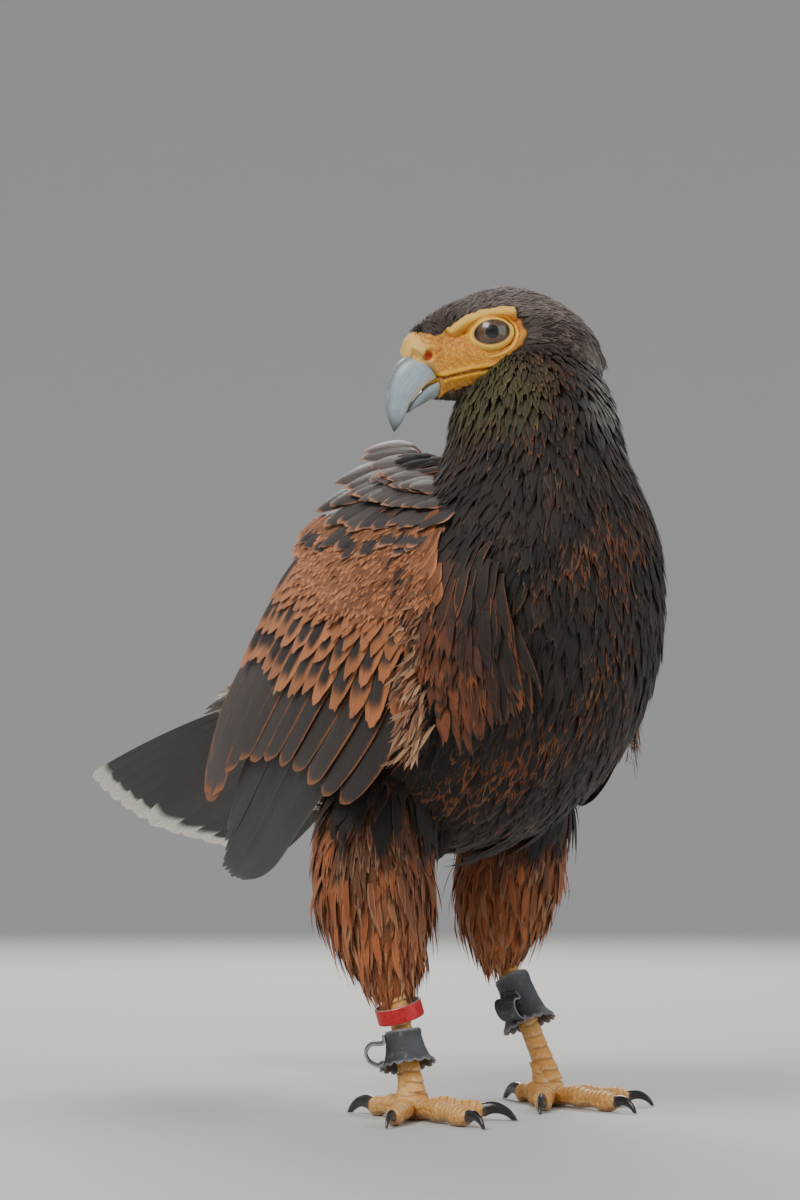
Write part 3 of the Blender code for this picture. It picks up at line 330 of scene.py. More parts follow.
def tail_axes():
    """Rows: towards the tip, across to the left, and up from the tail's upper face."""
    level = np.array([math.cos(TAIL_SWING), -math.sin(TAIL_SWING), 0.0])
    flat = np.array([math.sin(TAIL_SWING), math.cos(TAIL_SWING), 0.0])
    back = flat * math.cos(TAIL_DROP) - np.array([0.0, 0.0, math.sin(TAIL_DROP)])
    up = np.cross(level, back)
    across = level * math.cos(TAIL_ROLL) - up * math.sin(TAIL_ROLL)
    return np.array([back, across, np.cross(across, back)])


def tail_fan(u, v):
    """u runs along the tail in metres from its root, v from -1 to 1 across the fan. A feather's
    heading is v times the spread, and the outer ones droop by 6 mm times v squared."""
    u, v = np.broadcast_arrays(np.asarray(u, float), np.asarray(v, float))
    heading = v * math.radians(12)
    local = np.stack([u * np.cos(heading), v * TAIL_HALF + u * np.sin(heading),
                      -0.006 * u / TAIL_LENGTH * v * v], -1)
    return local @ tail_axes() + TAIL_ROOT


def vent(u, v):
    """The white plumes under the tail: a drooping half tube from the rump back, u along, v from
    -1 to 1 across. Point: line + across * sine of v + drop * (1 - cosine of v)."""
    u, v = np.broadcast_arrays(np.asarray(u, float), np.asarray(v, float))
    line = through(((0, 0.078, 0.152), (0, 0.100, 0.140), (0, 0.125, 0.134), (0, 0.150, 0.133)), u)
    wide = 0.021 - 0.008 * u
    turn = 1.35 * v
    return np.stack([wide * np.sin(turn), line[..., 1], line[..., 2] + wide * 0.9 * (1 - np.cos(turn))], -1)


vent.sign = -1


def surface_frame(surface, u, v, step=1e-3):
    """Place, both edge directions with their lengths, and the unit normal, from differences of the
    surface a small step apart. A surface whose cross product points inwards has the sign -1."""
    at = surface(u, v)
    along = (surface(u + step, v) - surface(u - step, v)) / (2 * step)
    across = (surface(u, v + step) - surface(u, v - step)) / (2 * step)
    out = unit(np.cross(along, across)) * getattr(surface, "sign", 1)
    return at, along, across, out


print("wing tips reach", wing("right")(1.0, 0.5).round(3), "tail tip", tail_fan(TAIL_LENGTH, 0).round(3))

# %% [markdown]
# Every feather has a shaft, barbs that slant away from it, and a rim that is often another
# colour. These marks follow the feather and not the bird, so they are read from a UV map that
# spans one feather. One node group makes them, and every plumage finish uses it.

# %% Node helpers
def fill(tree, node, inputs):
    """Fills a node's inputs with values, or wires them to other nodes' outputs."""
    for key, value in inputs.items():
        if isinstance(value, bpy.types.NodeSocket):
            tree.links.new(value, node.inputs[key])
        else:
            node.inputs[key].default_value = value
    return node


def wire(tree, kind, inputs=None, **settings):
    """Adds a shader node, sets it and fills its inputs."""
    made = tree.nodes.new(kind)
    for key, value in settings.items():
        setattr(made, key, value)
    return fill(tree, made, inputs or {})


def calc(tree, operation, *values):
    """One Math node's result."""
    return wire(tree, "ShaderNodeMath", dict(enumerate(values)), operation=operation).outputs[0]


def times(tree, first, second):
    """The product of two values."""
    return calc(tree, "MULTIPLY", first, second)


def mask(tree, title, strength=1.0):
    """A value stored on the mesh's points, times a strength."""
    value = wire(tree, "ShaderNodeAttribute", attribute_name=title).outputs["Fac"]
    return value if strength == 1.0 else times(tree, value, strength)


def spot(tree, x, y=0.0, z=0.0):
    """A place put together from three values."""
    return wire(tree, "ShaderNodeCombineXYZ", {"X": x, "Y": y, "Z": z}).outputs[0]


def noise(tree, scale, detail=2.0, roughness=0.5, at=None):
    """Noise on the object's own coordinates, or at another place."""
    at = at or wire(tree, "ShaderNodeTexCoord").outputs["Object"]
    return wire(tree, "ShaderNodeTexNoise", {"Vector": at, "Scale": scale, "Detail": detail,
                                             "Roughness": roughness}).outputs["Fac"]


def bump(tree, height, strength, distance):
    """The normal that a height gives."""
    return wire(tree, "ShaderNodeBump", {"Height": height, "Strength": strength,
                                         "Distance": distance}).outputs["Normal"]


def ramp(tree, value, low, high, start=0.0, end=1.0):
    """A value between low and high, eased into start to end."""
    made = wire(tree, "ShaderNodeMapRange", {"Value": value, "From Min": low, "From Max": high,
                                             "To Min": start, "To Max": end},
                interpolation_type="SMOOTHSTEP")
    return made.outputs["Result"]


print("node helpers", [f.__name__ for f in (fill, wire, calc, times, mask, spot, noise, bump, ramp)])

# %% Colours over each other
def blend(tree, share, first, second):
    """Mixes two colours by a share from 0 to 1."""
    tints = [tint if isinstance(tint, bpy.types.NodeSocket) else (*tint, 1.0) for tint in (first, second)]
    return wire(tree, "ShaderNodeMix", {0: share, 6: tints[0], 7: tints[1]}, data_type="RGBA").outputs[2]


def layers(tree, colour, *coats):
    """A colour with others laid over it, each given as its share and its tint."""
    for share, tint in coats:
        colour = blend(tree, share, colour, tint)
    return colour


def shaded(tree, colour, value):
    """A colour multiplied by a value."""
    grey = wire(tree, "ShaderNodeCombineColor", {"Red": value, "Green": value, "Blue": value})
    return wire(tree, "ShaderNodeMix", {0: 1.0, 6: colour, 7: grey.outputs[0]}, data_type="RGBA",
                blend_type="MULTIPLY").outputs[2]


print("colour helpers", blend.__name__, layers.__name__, shaded.__name__)

# %% The feather marks group
def new_group(title, inputs, outputs):
    """An empty shader group with float inputs, given with their values, and named float outputs."""
    tree = bpy.data.node_groups.new(title, "ShaderNodeTree")
    for name, value in inputs.items():
        socket = tree.interface.new_socket(name=name, in_out="INPUT", socket_type="NodeSocketFloat")
        socket.default_value = value
    for name in outputs:
        tree.interface.new_socket(name=name, in_out="OUTPUT", socket_type="NodeSocketFloat")
    return tree, tree.nodes.new("NodeGroupInput").outputs, tree.nodes.new("NodeGroupOutput")


def feather_marks():
    """Barb: noise stretched along lines y * barbs - |x| * slant. Rim: 1 near the vane's sides and
    tip. Shaft: 1 on the midline, thinner towards the tip. x is -1 to 1 across, y 0 to 1 along."""
    tree, given, out = new_group(
        "Feather marks", {"Rim Width": 0.2, "Barbs": 60.0, "Shaft Width": 0.05, "Ragged": 0.12, "Seed": 0.0},
        ("Barb", "Rim", "Shaft", "Along"))
    place = wire(tree, "ShaderNodeUVMap", uv_map="Feather").outputs["UV"]
    split = wire(tree, "ShaderNodeSeparateXYZ", {"Vector": place}).outputs
    x = calc(tree, "MULTIPLY_ADD", split["X"], 2.0, -1.0)
    y = split["Y"]
    aside = calc(tree, "ABSOLUTE", x)
    slant = times(tree, given["Barbs"], 0.35)
    lines = calc(tree, "SUBTRACT", times(tree, y, given["Barbs"]), times(tree, aside, slant))
    fine = noise(tree, 1.0, 3.0, 0.65, spot(tree, lines, times(tree, x, 1.3), given["Seed"]))
    edge = calc(tree, "MINIMUM", calc(tree, "SUBTRACT", 1.0, aside),
                times(tree, calc(tree, "SUBTRACT", 1.0, y), 2.4))
    loose = calc(tree, "MULTIPLY_ADD", calc(tree, "SUBTRACT", fine, 0.5),
                 times(tree, given["Ragged"], 4.0), edge)
    wide = given["Rim Width"]
    rim = ramp(tree, loose, times(tree, wide, 1.35), times(tree, wide, 0.55))
    thin = times(tree, given["Shaft Width"], calc(tree, "SUBTRACT", 1.15, y))
    shaft = ramp(tree, aside, thin, times(tree, thin, 0.45))
    fill(tree, out, {"Barb": fine, "Rim": rim, "Shaft": shaft, "Along": y})
    return tree


MARKS = feather_marks()
print("group", MARKS.name, "puts out", [s.name for s in MARKS.interface.items_tree if s.in_out == "OUTPUT"])

# %% [markdown]
# One plumage finish serves the whole coat. The colours change from feather to feather, so they
# are stored on the feathers themselves: a body colour, a rim colour and how wide the rim is.

# %% Plumage finishes
def new_finish(title):
    """A material with its Principled shader, ready for its nodes."""
    finish = bpy.data.materials.new(title)
    finish.use_nodes = True
    tree = finish.node_tree
    return finish, tree, tree.nodes["Principled BSDF"]


def plumage(title, barbs, shaft_width, shaft_light, roughness, sheen, depth):
    """Body colour, light and dark by the barbs, with a rim colour and a shaft line over it."""
    finish, tree, skin = new_finish(title)
    body, rim_tint = [wire(tree, "ShaderNodeAttribute", attribute_name=name).outputs["Color"]
                      for name in ("body_tint", "rim_tint")]
    marks = wire(tree, "ShaderNodeGroup", {"Barbs": barbs, "Shaft Width": shaft_width,
                                           "Rim Width": mask(tree, "rim_width"),
                                           "Seed": mask(tree, "seed")}, node_tree=MARKS).outputs
    colour = blend(tree, marks["Rim"], body, rim_tint)
    colour = shaded(tree, colour, ramp(tree, marks["Barb"], 0.25, 0.75, 0.62, 1.38))
    colour = blend(tree, marks["Shaft"], colour, shaded(tree, body, shaft_light))
    height = calc(tree, "ADD", marks["Barb"], times(tree, marks["Shaft"], 1.5))
    fill(tree, skin, {"Base Color": colour, "Normal": bump(tree, height, 0.55, depth),
                      "Roughness": roughness, "Specular IOR Level": 0.32, "Sheen Weight": sheen,
                      "Sheen Roughness": 0.45})
    return finish


soft_plumage = plumage("soft plumage", 34.0, 0.05, 1.25, 0.66, 0.10, 0.0003)
flight_plumage = plumage("flight plumage", 150.0, 0.045, 2.2, 0.48, 0.06, 0.0002)
print("plumage finishes", soft_plumage.name, flight_plumage.name)

# %% [markdown]
# A feather is a thin curved sheet: narrow at the quill, widest past its middle, with a rounded,
# slightly frayed tip. Whole tracts are worked out at once as one array of feathers by rows by
# columns, rooted on a surface and following it.

# %% One feather's outline
def outline(t, root=0.35, tip=0.45):
    """Share of full width along a feather: rises by a sine from the quill to 0.55 of its length,
    then falls by a quarter cosine to the tip share."""
    rise = root + (1 - root) * np.sin(np.pi / 2 * np.clip(t / 0.55, 0, 1))
    fall = tip + (1 - tip) * np.cos(np.pi / 2 * np.clip((t - 0.55) / 0.45, 0, 1)) ** 0.8
    return np.minimum(rise, fall)


def spread(value, count):
    """One number for each feather, from a single number or an array."""
    return np.broadcast_to(np.asarray(value, float), (count,)).copy()


print("feather outline", outline(np.linspace(0, 1, 5)).round(2))

# %% Lay a tract on a surface
def map_steps(surface, u, v, way, length):
    """Steps on the surface's map that go the given length along a world direction: the two edge
    directions' shares that add up to it, solved from their four dot products. Where the surface
    is tightly bent, the step is cut down until its far end lies no more than a length away."""
    _, along, across, _ = surface_frame(surface, u, v)
    aa, ac, cc = (along * along).sum(-1), (along * across).sum(-1), (across * across).sum(-1)
    wa, wc = (way * along).sum(-1), (way * across).sum(-1)
    det = np.maximum(aa * cc - ac * ac, 1e-12)
    du, dv = (wa * cc - wc * ac) / det, (wc * aa - wa * ac) / det
    size = np.linalg.norm(du[:, None] * along + dv[:, None] * across, axis=-1)
    du, dv = du / size * length, dv / size * length
    for _ in range(3):
        gap = np.linalg.norm(surface(u + du, v + dv) - surface(u, v), axis=-1)
        short = np.minimum(1.0, 1.1 * length / np.maximum(gap, 1e-9))
        du, dv = du * short, dv * short
    return du, dv


def lay(surface, u, v, way, length, half, low, high, rows=5, cols=5, roll=0.0,
        cup=0.25, fray=0.06, sweep=0.5, root=0.35, tip=0.45, ends=None, bend=0.0):
    """Feathers rooted at (u, v), laid along world directions `way`, or up to `ends` on the map.
    Midline: the surface point + normal * (low to high, by a square root of t). Across: side * half
    width * outline, dropped by cup * half * s^2 and swept back by |s|^1.8."""
    count = len(u)
    half, low, high, roll = (spread(value, count) for value in (half, low, high, roll))
    t = np.linspace(0, 1, rows) ** 0.85
    if ends is None:
        du, dv = map_steps(surface, u, v, way, spread(length, count))
    else:
        du, dv = ends[0] - u, ends[1] - v
    uu = u[:, None] + du[:, None] * t
    vv = v[:, None] + dv[:, None] * t
    at, _, _, out = surface_frame(surface, uu, vv)
    lift = low[:, None] + (high - low)[:, None] * np.sqrt(t)
    line = at + out * lift[..., None]
    ahead = unit(np.gradient(line, axis=1))
    side = unit(np.cross(out, ahead))
    up = np.cross(ahead, side)
    side, up = (side * np.cos(roll)[:, None, None] + up * np.sin(roll)[:, None, None],
                up * np.cos(roll)[:, None, None] - side * np.sin(roll)[:, None, None])
    reach = np.linalg.norm(line[:, -1] - line[:, 0], axis=-1)
    s = np.linspace(-1, 1, cols)
    wide = half[:, None, None] * outline(t, root, tip)[None, :, None] * s
    drop = -cup * half[:, None, None] * (s * s) * outline(t, root, tip)[None, :, None]
    torn = chance.uniform(-1, 1, (count, 1, cols)) * fray * reach[:, None, None] * t[:, None] ** 3
    back = -sweep * half[:, None, None] * np.abs(s) ** 1.8 * t[:, None] ** 1.5 + torn
    curl = spread(bend, count)[:, None, None] * reach[:, None, None] * (t ** 2)[:, None]
    points = (line[:, :, None] + side[:, :, None] * (wide + curl)[..., None]
              + up[:, :, None] * drop[..., None] + ahead[:, :, None] * back[..., None])
    return {"points": points, "root": at[:, 0], "u": u, "v": v, "t": t, "s": s}


print("a 10 mm step on the tail", map_steps(tail_fan, np.array([0.05]), np.zeros(1), np.eye(3)[1:2], 0.010))

# %% Join tracts into one coat
def coat(name, laid, finish, islands=None):
    """Joins laid tracts into one piece. Each comes with its feathers' body colour, rim
    colour and rim width. A colour may also change from row to row along the feather. The bake
    map gives each feather a patch 0.003 across at its root's place, or, for a few large vanes, an
    island of its own in a square of islands."""
    points, faces, feather, bake, body, rim, width, seed = [], [], [], [], [], [], [], []
    first = 0
    number = 0
    for tract, (body_tint, rim_tint, rim_width) in laid:
        count, rows, cols = tract["points"].shape[:3]
        each = rows * cols
        points.append(tract["points"].reshape(-1, 3))
        grid = quads(rows, cols)
        faces.append((grid[None] + (first + np.arange(count) * each)[:, None, None]).reshape(-1, 4))
        first += count * each
        s, t = np.meshgrid(tract["s"], tract["t"])
        span = np.stack([s * 0.5 + 0.5, t], -1).reshape(1, each, 2)
        feather.append(np.broadcast_to(span, (count, each, 2)).reshape(-1, 2))
        if islands:
            cell = number + np.arange(count)
            corner = np.stack([cell % islands, cell // islands], -1)
            bake.append(((corner[:, None] + 0.08 + 0.84 * span) / islands).reshape(-1, 2))
            number += count
        else:
            place = np.stack([0.03 + 0.94 * (tract["v"] % 1), 0.03 + 0.94 * np.clip(tract["u"], 0, 1)], -1)
            bake.append((place[:, None] + (span - 0.5) * 0.003).reshape(-1, 2))
        for store, value in ((body, body_tint), (rim, rim_tint)):
            value = np.asarray(value, float)
            value = value.reshape(len(value), -1, 1, 3) if value.ndim > 1 else value
            store.append(np.broadcast_to(value, (count, rows, cols, 3)).reshape(-1, 3))
        width.append(np.repeat(spread(rim_width, count), each))
        seed.append(np.repeat(chance.uniform(0, 50, count), each))
    obj = add_piece(name, np.concatenate(points), np.concatenate(faces), finish,
                    {"OFBake": np.concatenate(bake), "Feather": np.concatenate(feather)},
                    {"body_tint": np.concatenate(body), "rim_tint": np.concatenate(rim),
                     "rim_width": np.concatenate(width), "seed": np.concatenate(seed)})
    print(name, sum(len(tract["points"]) for tract, _ in laid), "feathers,", len(obj.data.polygons) * 2,
          "triangles")
    return obj


print("a coat stores", ["body_tint", "rim_tint", "rim_width", "seed"])

# %% Rows of roots
def shingle(surface, u_span, v_span, step, row_step, jitter=0.25, probe=24):
    """Rows of roots like roof tiles: rows row_step apart along u, roots step apart along v, every
    other row shifted by half a step, all a little scattered."""
    mid_v = (v_span[0] + v_span[1]) / 2
    track = surface(np.linspace(*u_span, probe * 4), mid_v)
    run = np.r_[0, np.cumsum(np.linalg.norm(np.diff(track, axis=0), axis=-1))]
    rows = max(int(run[-1] / row_step), 2)
    us = np.interp(np.linspace(0, run[-1], rows), run, np.linspace(*u_span, probe * 4))
    found = []
    for k, u in enumerate(us):
        loop = surface(u, np.linspace(*v_span, probe * 2))
        girth = np.r_[0, np.cumsum(np.linalg.norm(np.diff(loop, axis=0), axis=-1))]
        count = max(int(girth[-1] / step), 3)
        places = (np.arange(count) + (0.5 if k % 2 else 0.0)) / count * girth[-1]
        v = np.interp(places, girth, np.linspace(*v_span, probe * 2))
        found.append(np.stack([np.full(count, u), v], -1))
    roots = np.concatenate(found)
    du = (us[-1] - us[0]) / rows
    dv = (v_span[1] - v_span[0]) * step / max(girth[-1], 1e-6)
    roots = roots + chance.uniform(-jitter, jitter, roots.shape) * (du, dv)
    return roots[:, 0], roots[:, 1]


def nearest(points, samples):
    """For each point the number of the nearest sample and its distance, in blocks to save memory."""
    found, far = [], []
    for block in np.array_split(points, max(len(points) // 4000, 1)):
        gap = ((block[:, None] - samples[None]) ** 2).sum(-1)
        best = gap.argmin(1)
        found.append(best)
        far.append(np.sqrt(gap[np.arange(len(block)), best]))
    return np.concatenate(found), np.concatenate(far)


print("nearest samples", nearest(np.eye(3), np.eye(3))[0])

# %% [markdown]
# Under the plumage lies one skin. The body's lofts are set in by the depth of the coat, joined,
# and remeshed into a single closed surface, so no seam shows between body, neck and thighs. The
# folded wings lie in shallow hollows of the flanks, which are pressed into every point that
# comes too near a wing.

# %% Hollows under the wings
ARM_DEPTH = 0.0165                    # from the wing's outer face down to the flank's skin
WING_GRID = np.meshgrid(np.linspace(-0.02, 0.95, 42), np.linspace(0.0, 1.0, 26), indexing="ij")
WING_SHEETS = {side: [a.reshape(-1, 3) for a in surface_frame(wing(side), *WING_GRID)[::3]]
               for side in ("right", "left")}


def under_wing(points, side):
    """Height of points over the nearest place on a wing's face, and how far beside it they lie."""
    at, out = WING_SHEETS[side]
    k, far = nearest(points, at)
    height = ((points - at[k]) * out[k]).sum(-1)
    beside = np.sqrt(np.maximum(far**2 - height**2, 0))
    return height, beside, out[k]


def pressed(points, depth=ARM_DEPTH):
    """Pushes points down to the given depth under both wings, easing off beside them."""
    flat = points.reshape(-1, 3).copy()
    for side in ("right", "left"):
        height, beside, out = under_wing(flat, side)
        push = np.clip(height + depth, 0, None) * (1 - ease(beside, 0.002, 0.014)) * (height < 0.03)
        flat -= out * push[:, None]
    return flat.reshape(points.shape)


def loft(surface, u_span, rows, around, inset):
    """A surface's points as rings, moved inwards along the normal by the inset."""
    u, v = np.meshgrid(np.linspace(*u_span, rows), np.arange(around) / around, indexing="ij")
    at, _, _, out = surface_frame(surface, u, v)
    return at - out * inset


print("flank hollow depth in mm", ARM_DEPTH * 1000)

# %% [markdown]
# The face is bare: cere, lores, brow and the ring round the eye. Its border is drawn once, in the
# head's side view, and decides both where the yellow skin shows and where no feather grows. Seven
# forms shape it: brow ridge, orbit, lore, cere, nostril, mouth line and lips. Each is a bell curve
# of the distance to a point or a line.

# %% Face measures
# The bare skin's border in the head's side view, along and up in mm, from the forehead backwards
BARE = np.array([(60, 2.8), (44, 2.8), (39.3, 3.2), (36.5, 1.6), (33, 0.6), (29.5, 2.6), (25.5, 5.6),
                 (21.5, 8.0), (15.5, 9.9),
                 (9.5, 11.0), (4, 11.6), (0.9, 11.4), (0.2, 8.8), (-2.2, 5.0), (-3.4, 0), (-1.3, -5.2),
                 (3.9, -9.3), (8.2, -12.2), (6.5, -15.8),
                 (11, -18.6), (19, -21.2), (27, -23.6), (31, -27), (40, -30), (60, -24)]) / 1000
BROW = np.array([(27.0, 2.0), (21.0, 5.6), (14, 8.1), (8, 8.9), (2.2, 8.9)]) / 1000
GAPE = np.array([(10.4, -14.6), (14, -14.9), (18, -15.3), (25, -16.6), (32.5, -18.2), (36, -20.0)]) / 1000
NOSTRIL = np.array([36.9, -8.3]) / 1000
# Where the bill's horn takes over from the cere and the chin
HORN = np.array([(60, -5.2), (43.0, -5.6), (41.2, -6.8), (38.6, -9.4), (32.3, -17.2), (31.0, -17.8),
                 (30.6, -30), (60, -30)]) / 1000


def line_distance(points, line):
    """Distance from points to a line of straight pieces, and the share of the line reached there."""
    start, way = line[:-1], np.diff(line, axis=0)
    rel = points[..., None, :] - start
    share = np.clip((rel * way).sum(-1) / (way * way).sum(-1), 0, 1)
    gap = np.linalg.norm(rel - share[..., None] * way, axis=-1)
    k = gap.argmin(-1)
    at = np.take_along_axis(share, k[..., None], -1)[..., 0]
    return gap.min(-1), (k + at) / len(way)


def border_depth(points, border):
    """How far points lie inside a closed border, negative outside: the distance to its nearest
    edge, with the sign from how many edges a level line to the right crosses."""
    gap, _ = line_distance(points, np.vstack([border, border[:1]]))
    x, y = points[..., None, 0], points[..., None, 1]
    (ax, ay), (bx, by) = border.T, np.roll(border, -1, 0).T
    crosses = ((ay > y) != (by > y)) & (x < (bx - ax) * (y - ay) / np.where(by == ay, 1e-9, by - ay) + ax)
    return np.where(crosses.sum(-1) % 2 == 1, gap, -gap)


def bell(distance, size):
    """exp(-(distance / size)^2)"""
    return np.exp(-(distance / size) ** 2)


print("nostril lies inside the bare skin by mm", (border_depth(NOSTRIL, BARE) * 1000).round(1))

# %% Head skin with its face
def eye_axes(side):
    """Rows: the eye's own ahead, up and outward way. It looks aside, a little ahead and down."""
    out = unit(np.array([0.28, side * 1.0, -0.04]))
    ahead = unit(np.array([1.0, 0, 0.0]) - out * out[0])
    return np.array([ahead, np.cross(ahead, out) * side, out])


def face_form(local):
    """Height to add to the head's surface at head coordinates, and the colour masks there."""
    flat = local[..., [0, 2]]
    beside = np.abs(local[..., 1])
    bare = ease(border_depth(flat, BARE) + waver(local, 0.003, 5) * 0.0006, -0.0006, 0.0008)
    brow_gap, brow_share = line_distance(flat, BROW)
    over_brow = flat[..., 1] > np.interp(-flat[..., 0], -BROW[:, 0], BROW[:, 1])
    ridge = np.sin(np.pi * (0.10 + 0.66 * brow_share)) ** 0.6 * ease(beside, 0.004, 0.012)
    brow = np.where(over_brow, bell(brow_gap, 0.0025), 1 - ease(brow_gap, 0.0012, 0.0022)) * ridge
    fold = bell(brow_gap - 0.0026, 0.0008) * ridge * ~over_brow
    centre = np.array([EYE_AT[0], EYE_AT[2]])
    high = np.where(flat[..., 1] > centre[1], 0.0064, 0.0072)
    oval = np.hypot((flat[..., 0] - centre[0]) / 0.0094, (flat[..., 1] - centre[1]) / high)
    orbit = bell(np.clip(oval - 1, 0, None), 0.42) * ease(beside, 0.006, 0.012)
    orbit = orbit * np.where(flat[..., 1] > centre[1], 1.0, 0.45)
    socket = (1 - ease(oval, 0.82, 1.06)) * ease(beside, 0.006, 0.012)
    lore = bell(np.linalg.norm((flat - (0.0245, -0.0020)) / (1.3, 1.0), axis=-1), 0.0060)
    cere = ease(local[..., 0], 0.031, 0.036)
    hole = np.linalg.norm((flat - NOSTRIL) @ [[0.96, -0.28], [0.28, 0.96]] / (1.05, 1.25), axis=-1)
    side_face = ease(beside, 0.003, 0.006)
    nostril = (1 - ease(hole, 0.0012, 0.0020)) * side_face
    mouth_gap, mouth_share = line_distance(flat, GAPE)
    over = np.sign(flat[..., 1] - np.interp(flat[..., 0], GAPE[:, 0], GAPE[:, 1]))
    fade = np.sin(np.pi * np.clip(0.12 + 0.80 * mouth_share, 0, 1)) ** 0.5
    slit = bell(mouth_gap, 0.00042) * side_face
    lips = bell(mouth_gap - 0.0013, 0.0010) * fade * side_face
    height = (0.0040 * brow - 0.0012 * fold - 0.0019 * orbit - 0.0090 * socket - 0.0010 * lore
              + 0.0004 * cere + 0.0005 * bell(hole - 0.0029, 0.0009) * side_face - 0.0024 * nostril
              + np.where(over > 0, 0.0009, 0.0007) * lips - 0.0022 * slit)
    fine = waver(local, 0.0021, 8) * 0.00016 + waver(local, 0.0011, 9) * 0.00009
    under_horn = border_depth(flat, HORN)
    height = (height + fine * bare - 0.0016 * (1 - bare) + 0.0005 * bell(under_horn + 0.0016, 0.0013)
              - 0.0036 * ease(under_horn, -0.0010, 0.0010))
    masks = {"bare": bare, "brow": np.clip(brow * 1.2, 0, 1) * bare,
             "lips": np.clip(lips * 1.3, 0, 1) * bare,
             # slit: the mouth line, darkened in colour as painted shade.
             "nostril": nostril, "slit": np.clip(slit, 0, 1),
             # orbit: the hollow round the eye and the fold under the brow, darkened in colour as painted
             # shade.
             "orbit": np.maximum(orbit, fold) * bare * (1 - brow),
             "cere": ease(local[..., 0] - 0.35 * flat[..., 1], 0.036, 0.042) * bare}
    return height, masks


def face_grid(rows=190, around=256):
    """The head's loft on a fine grid, closer together towards the face, with the face's forms."""
    u = 1 - np.linspace(1, 0, rows) ** 1.25
    u, v = np.meshgrid(u, np.arange(around) / around, indexing="ij")
    at, _, _, out = surface_frame(head, u, v)
    height, masks = face_form(to_head(at))
    return at + out * height[..., None], masks


face_points, face_masks = face_grid()
print("face grid", face_points.shape, "bare share", face_masks["bare"].mean().round(2))

# %% [markdown]
# The skin's colour follows the masks: orange-yellow where it is bare, with a paler brow that is partly
# painted highlight, paler lips, pores and small papillae, and dull brown where feathers hide it.

# %% Skin finish
def pores_group():
    """Pebbles: cells of a Voronoi pattern, round bumps with dark joints. Mottle: soft noise."""
    tree, given, out = new_group("Skin pebbles", {"Size": 900.0, "Joint": 0.35}, ("Pebble", "Mottle"))
    at = wire(tree, "ShaderNodeTexCoord").outputs["Object"]
    cells = wire(tree, "ShaderNodeTexVoronoi", {"Vector": at, "Scale": given["Size"]})
    fill(tree, out, {"Pebble": ramp(tree, cells.outputs["Distance"], 0.75, given["Joint"]),
                     "Mottle": noise(tree, times(tree, given["Size"], 0.28), 4.0, 0.6)})
    return tree


PEBBLES = pores_group()


def pebbled(tree, size, joint=0.35):
    """The pebbles group placed in a material with its own values."""
    return wire(tree, "ShaderNodeGroup", {"Size": size, "Joint": joint}, node_tree=PEBBLES).outputs


def skin_finish():
    """Bare skin from orange to pale yellow by the masks, over dull brown feathered skin."""
    finish, tree, skin = new_finish("hawk skin")
    marks = pebbled(tree, 2300.0, 0.30)
    mottle, pebble = marks["Mottle"], marks["Pebble"]
    colour = blend(tree, ramp(tree, mottle, 0.36, 0.64), (0.66, 0.205, 0.006), (0.92, 0.45, 0.016))
    colour = layers(tree, colour, (ramp(tree, pebble, 0.62, 1.0, 0.0, 0.22), (0.93, 0.62, 0.18)),
                    (times(tree, calc(tree, "SUBTRACT", 1.0, pebble), 0.45), (0.30, 0.09, 0.012)),
                    # The brow ridge's paler yellow is partly its own colour and partly painted highlight.
                    (mask(tree, "brow", 0.90), (0.94, 0.60, 0.11)),
                    (mask(tree, "cere", 0.85), (0.95, 0.60, 0.17)),
                    # Painted shade: darker orange in the hollow round the eye and under the brow.
                    (mask(tree, "orbit", 0.65), (0.55, 0.13, 0.004)),
                    (mask(tree, "lips", 0.9), (0.92, 0.47, 0.02)),
                    # Painted shade: a dark line in the mouth's slit.
                    (mask(tree, "slit", 0.85), (0.35, 0.06, 0.012)),
                    (mask(tree, "nostril"), (0.60, 0.060, 0.008)))
    colour = blend(tree, mask(tree, "bare"), (0.050, 0.034, 0.026), colour)
    height = calc(tree, "MULTIPLY_ADD", pebble, 0.6, mottle)
    fill(tree, skin, {"Base Color": colour, "Normal": bump(tree, height, 0.7, 0.00025),
                      "Roughness": ramp(tree, mottle, 0.3, 0.7, 0.38, 0.58), "Subsurface Weight": 0.18,
                      "Subsurface Radius": (0.004, 0.0016, 0.0006), "Subsurface Scale": 0.5})
    return finish


hawk_skin = skin_finish()
print("skin finish", hawk_skin.name)

# %% One skin for the whole body
COAT = 0.0042                          # depth of the body's plumage


def arm_block(side):
    """The wing's arm and hand: two sheets 4 mm over and under a middle 8.5 mm below the wing's face."""
    u, v = np.meshgrid(np.linspace(0.01, 0.34, 14), np.linspace(0.03, 0.90, 20), indexing="ij")
    u = u * (1 - 0.5 * v)
    at, _, _, out = surface_frame(wing(side), u, v)
    rim = (np.sin(np.pi * np.linspace(0.1, 0.9, 14))[:, None]
           * np.sin(np.pi * np.linspace(0.08, 0.92, 20))[None]) ** 0.4
    middle = at - out * 0.0085
    top, low = middle + out * (0.0040 * rim)[..., None], middle - out * (0.0042 * rim)[..., None]
    return np.concatenate([top, low[:, ::-1]], axis=1)


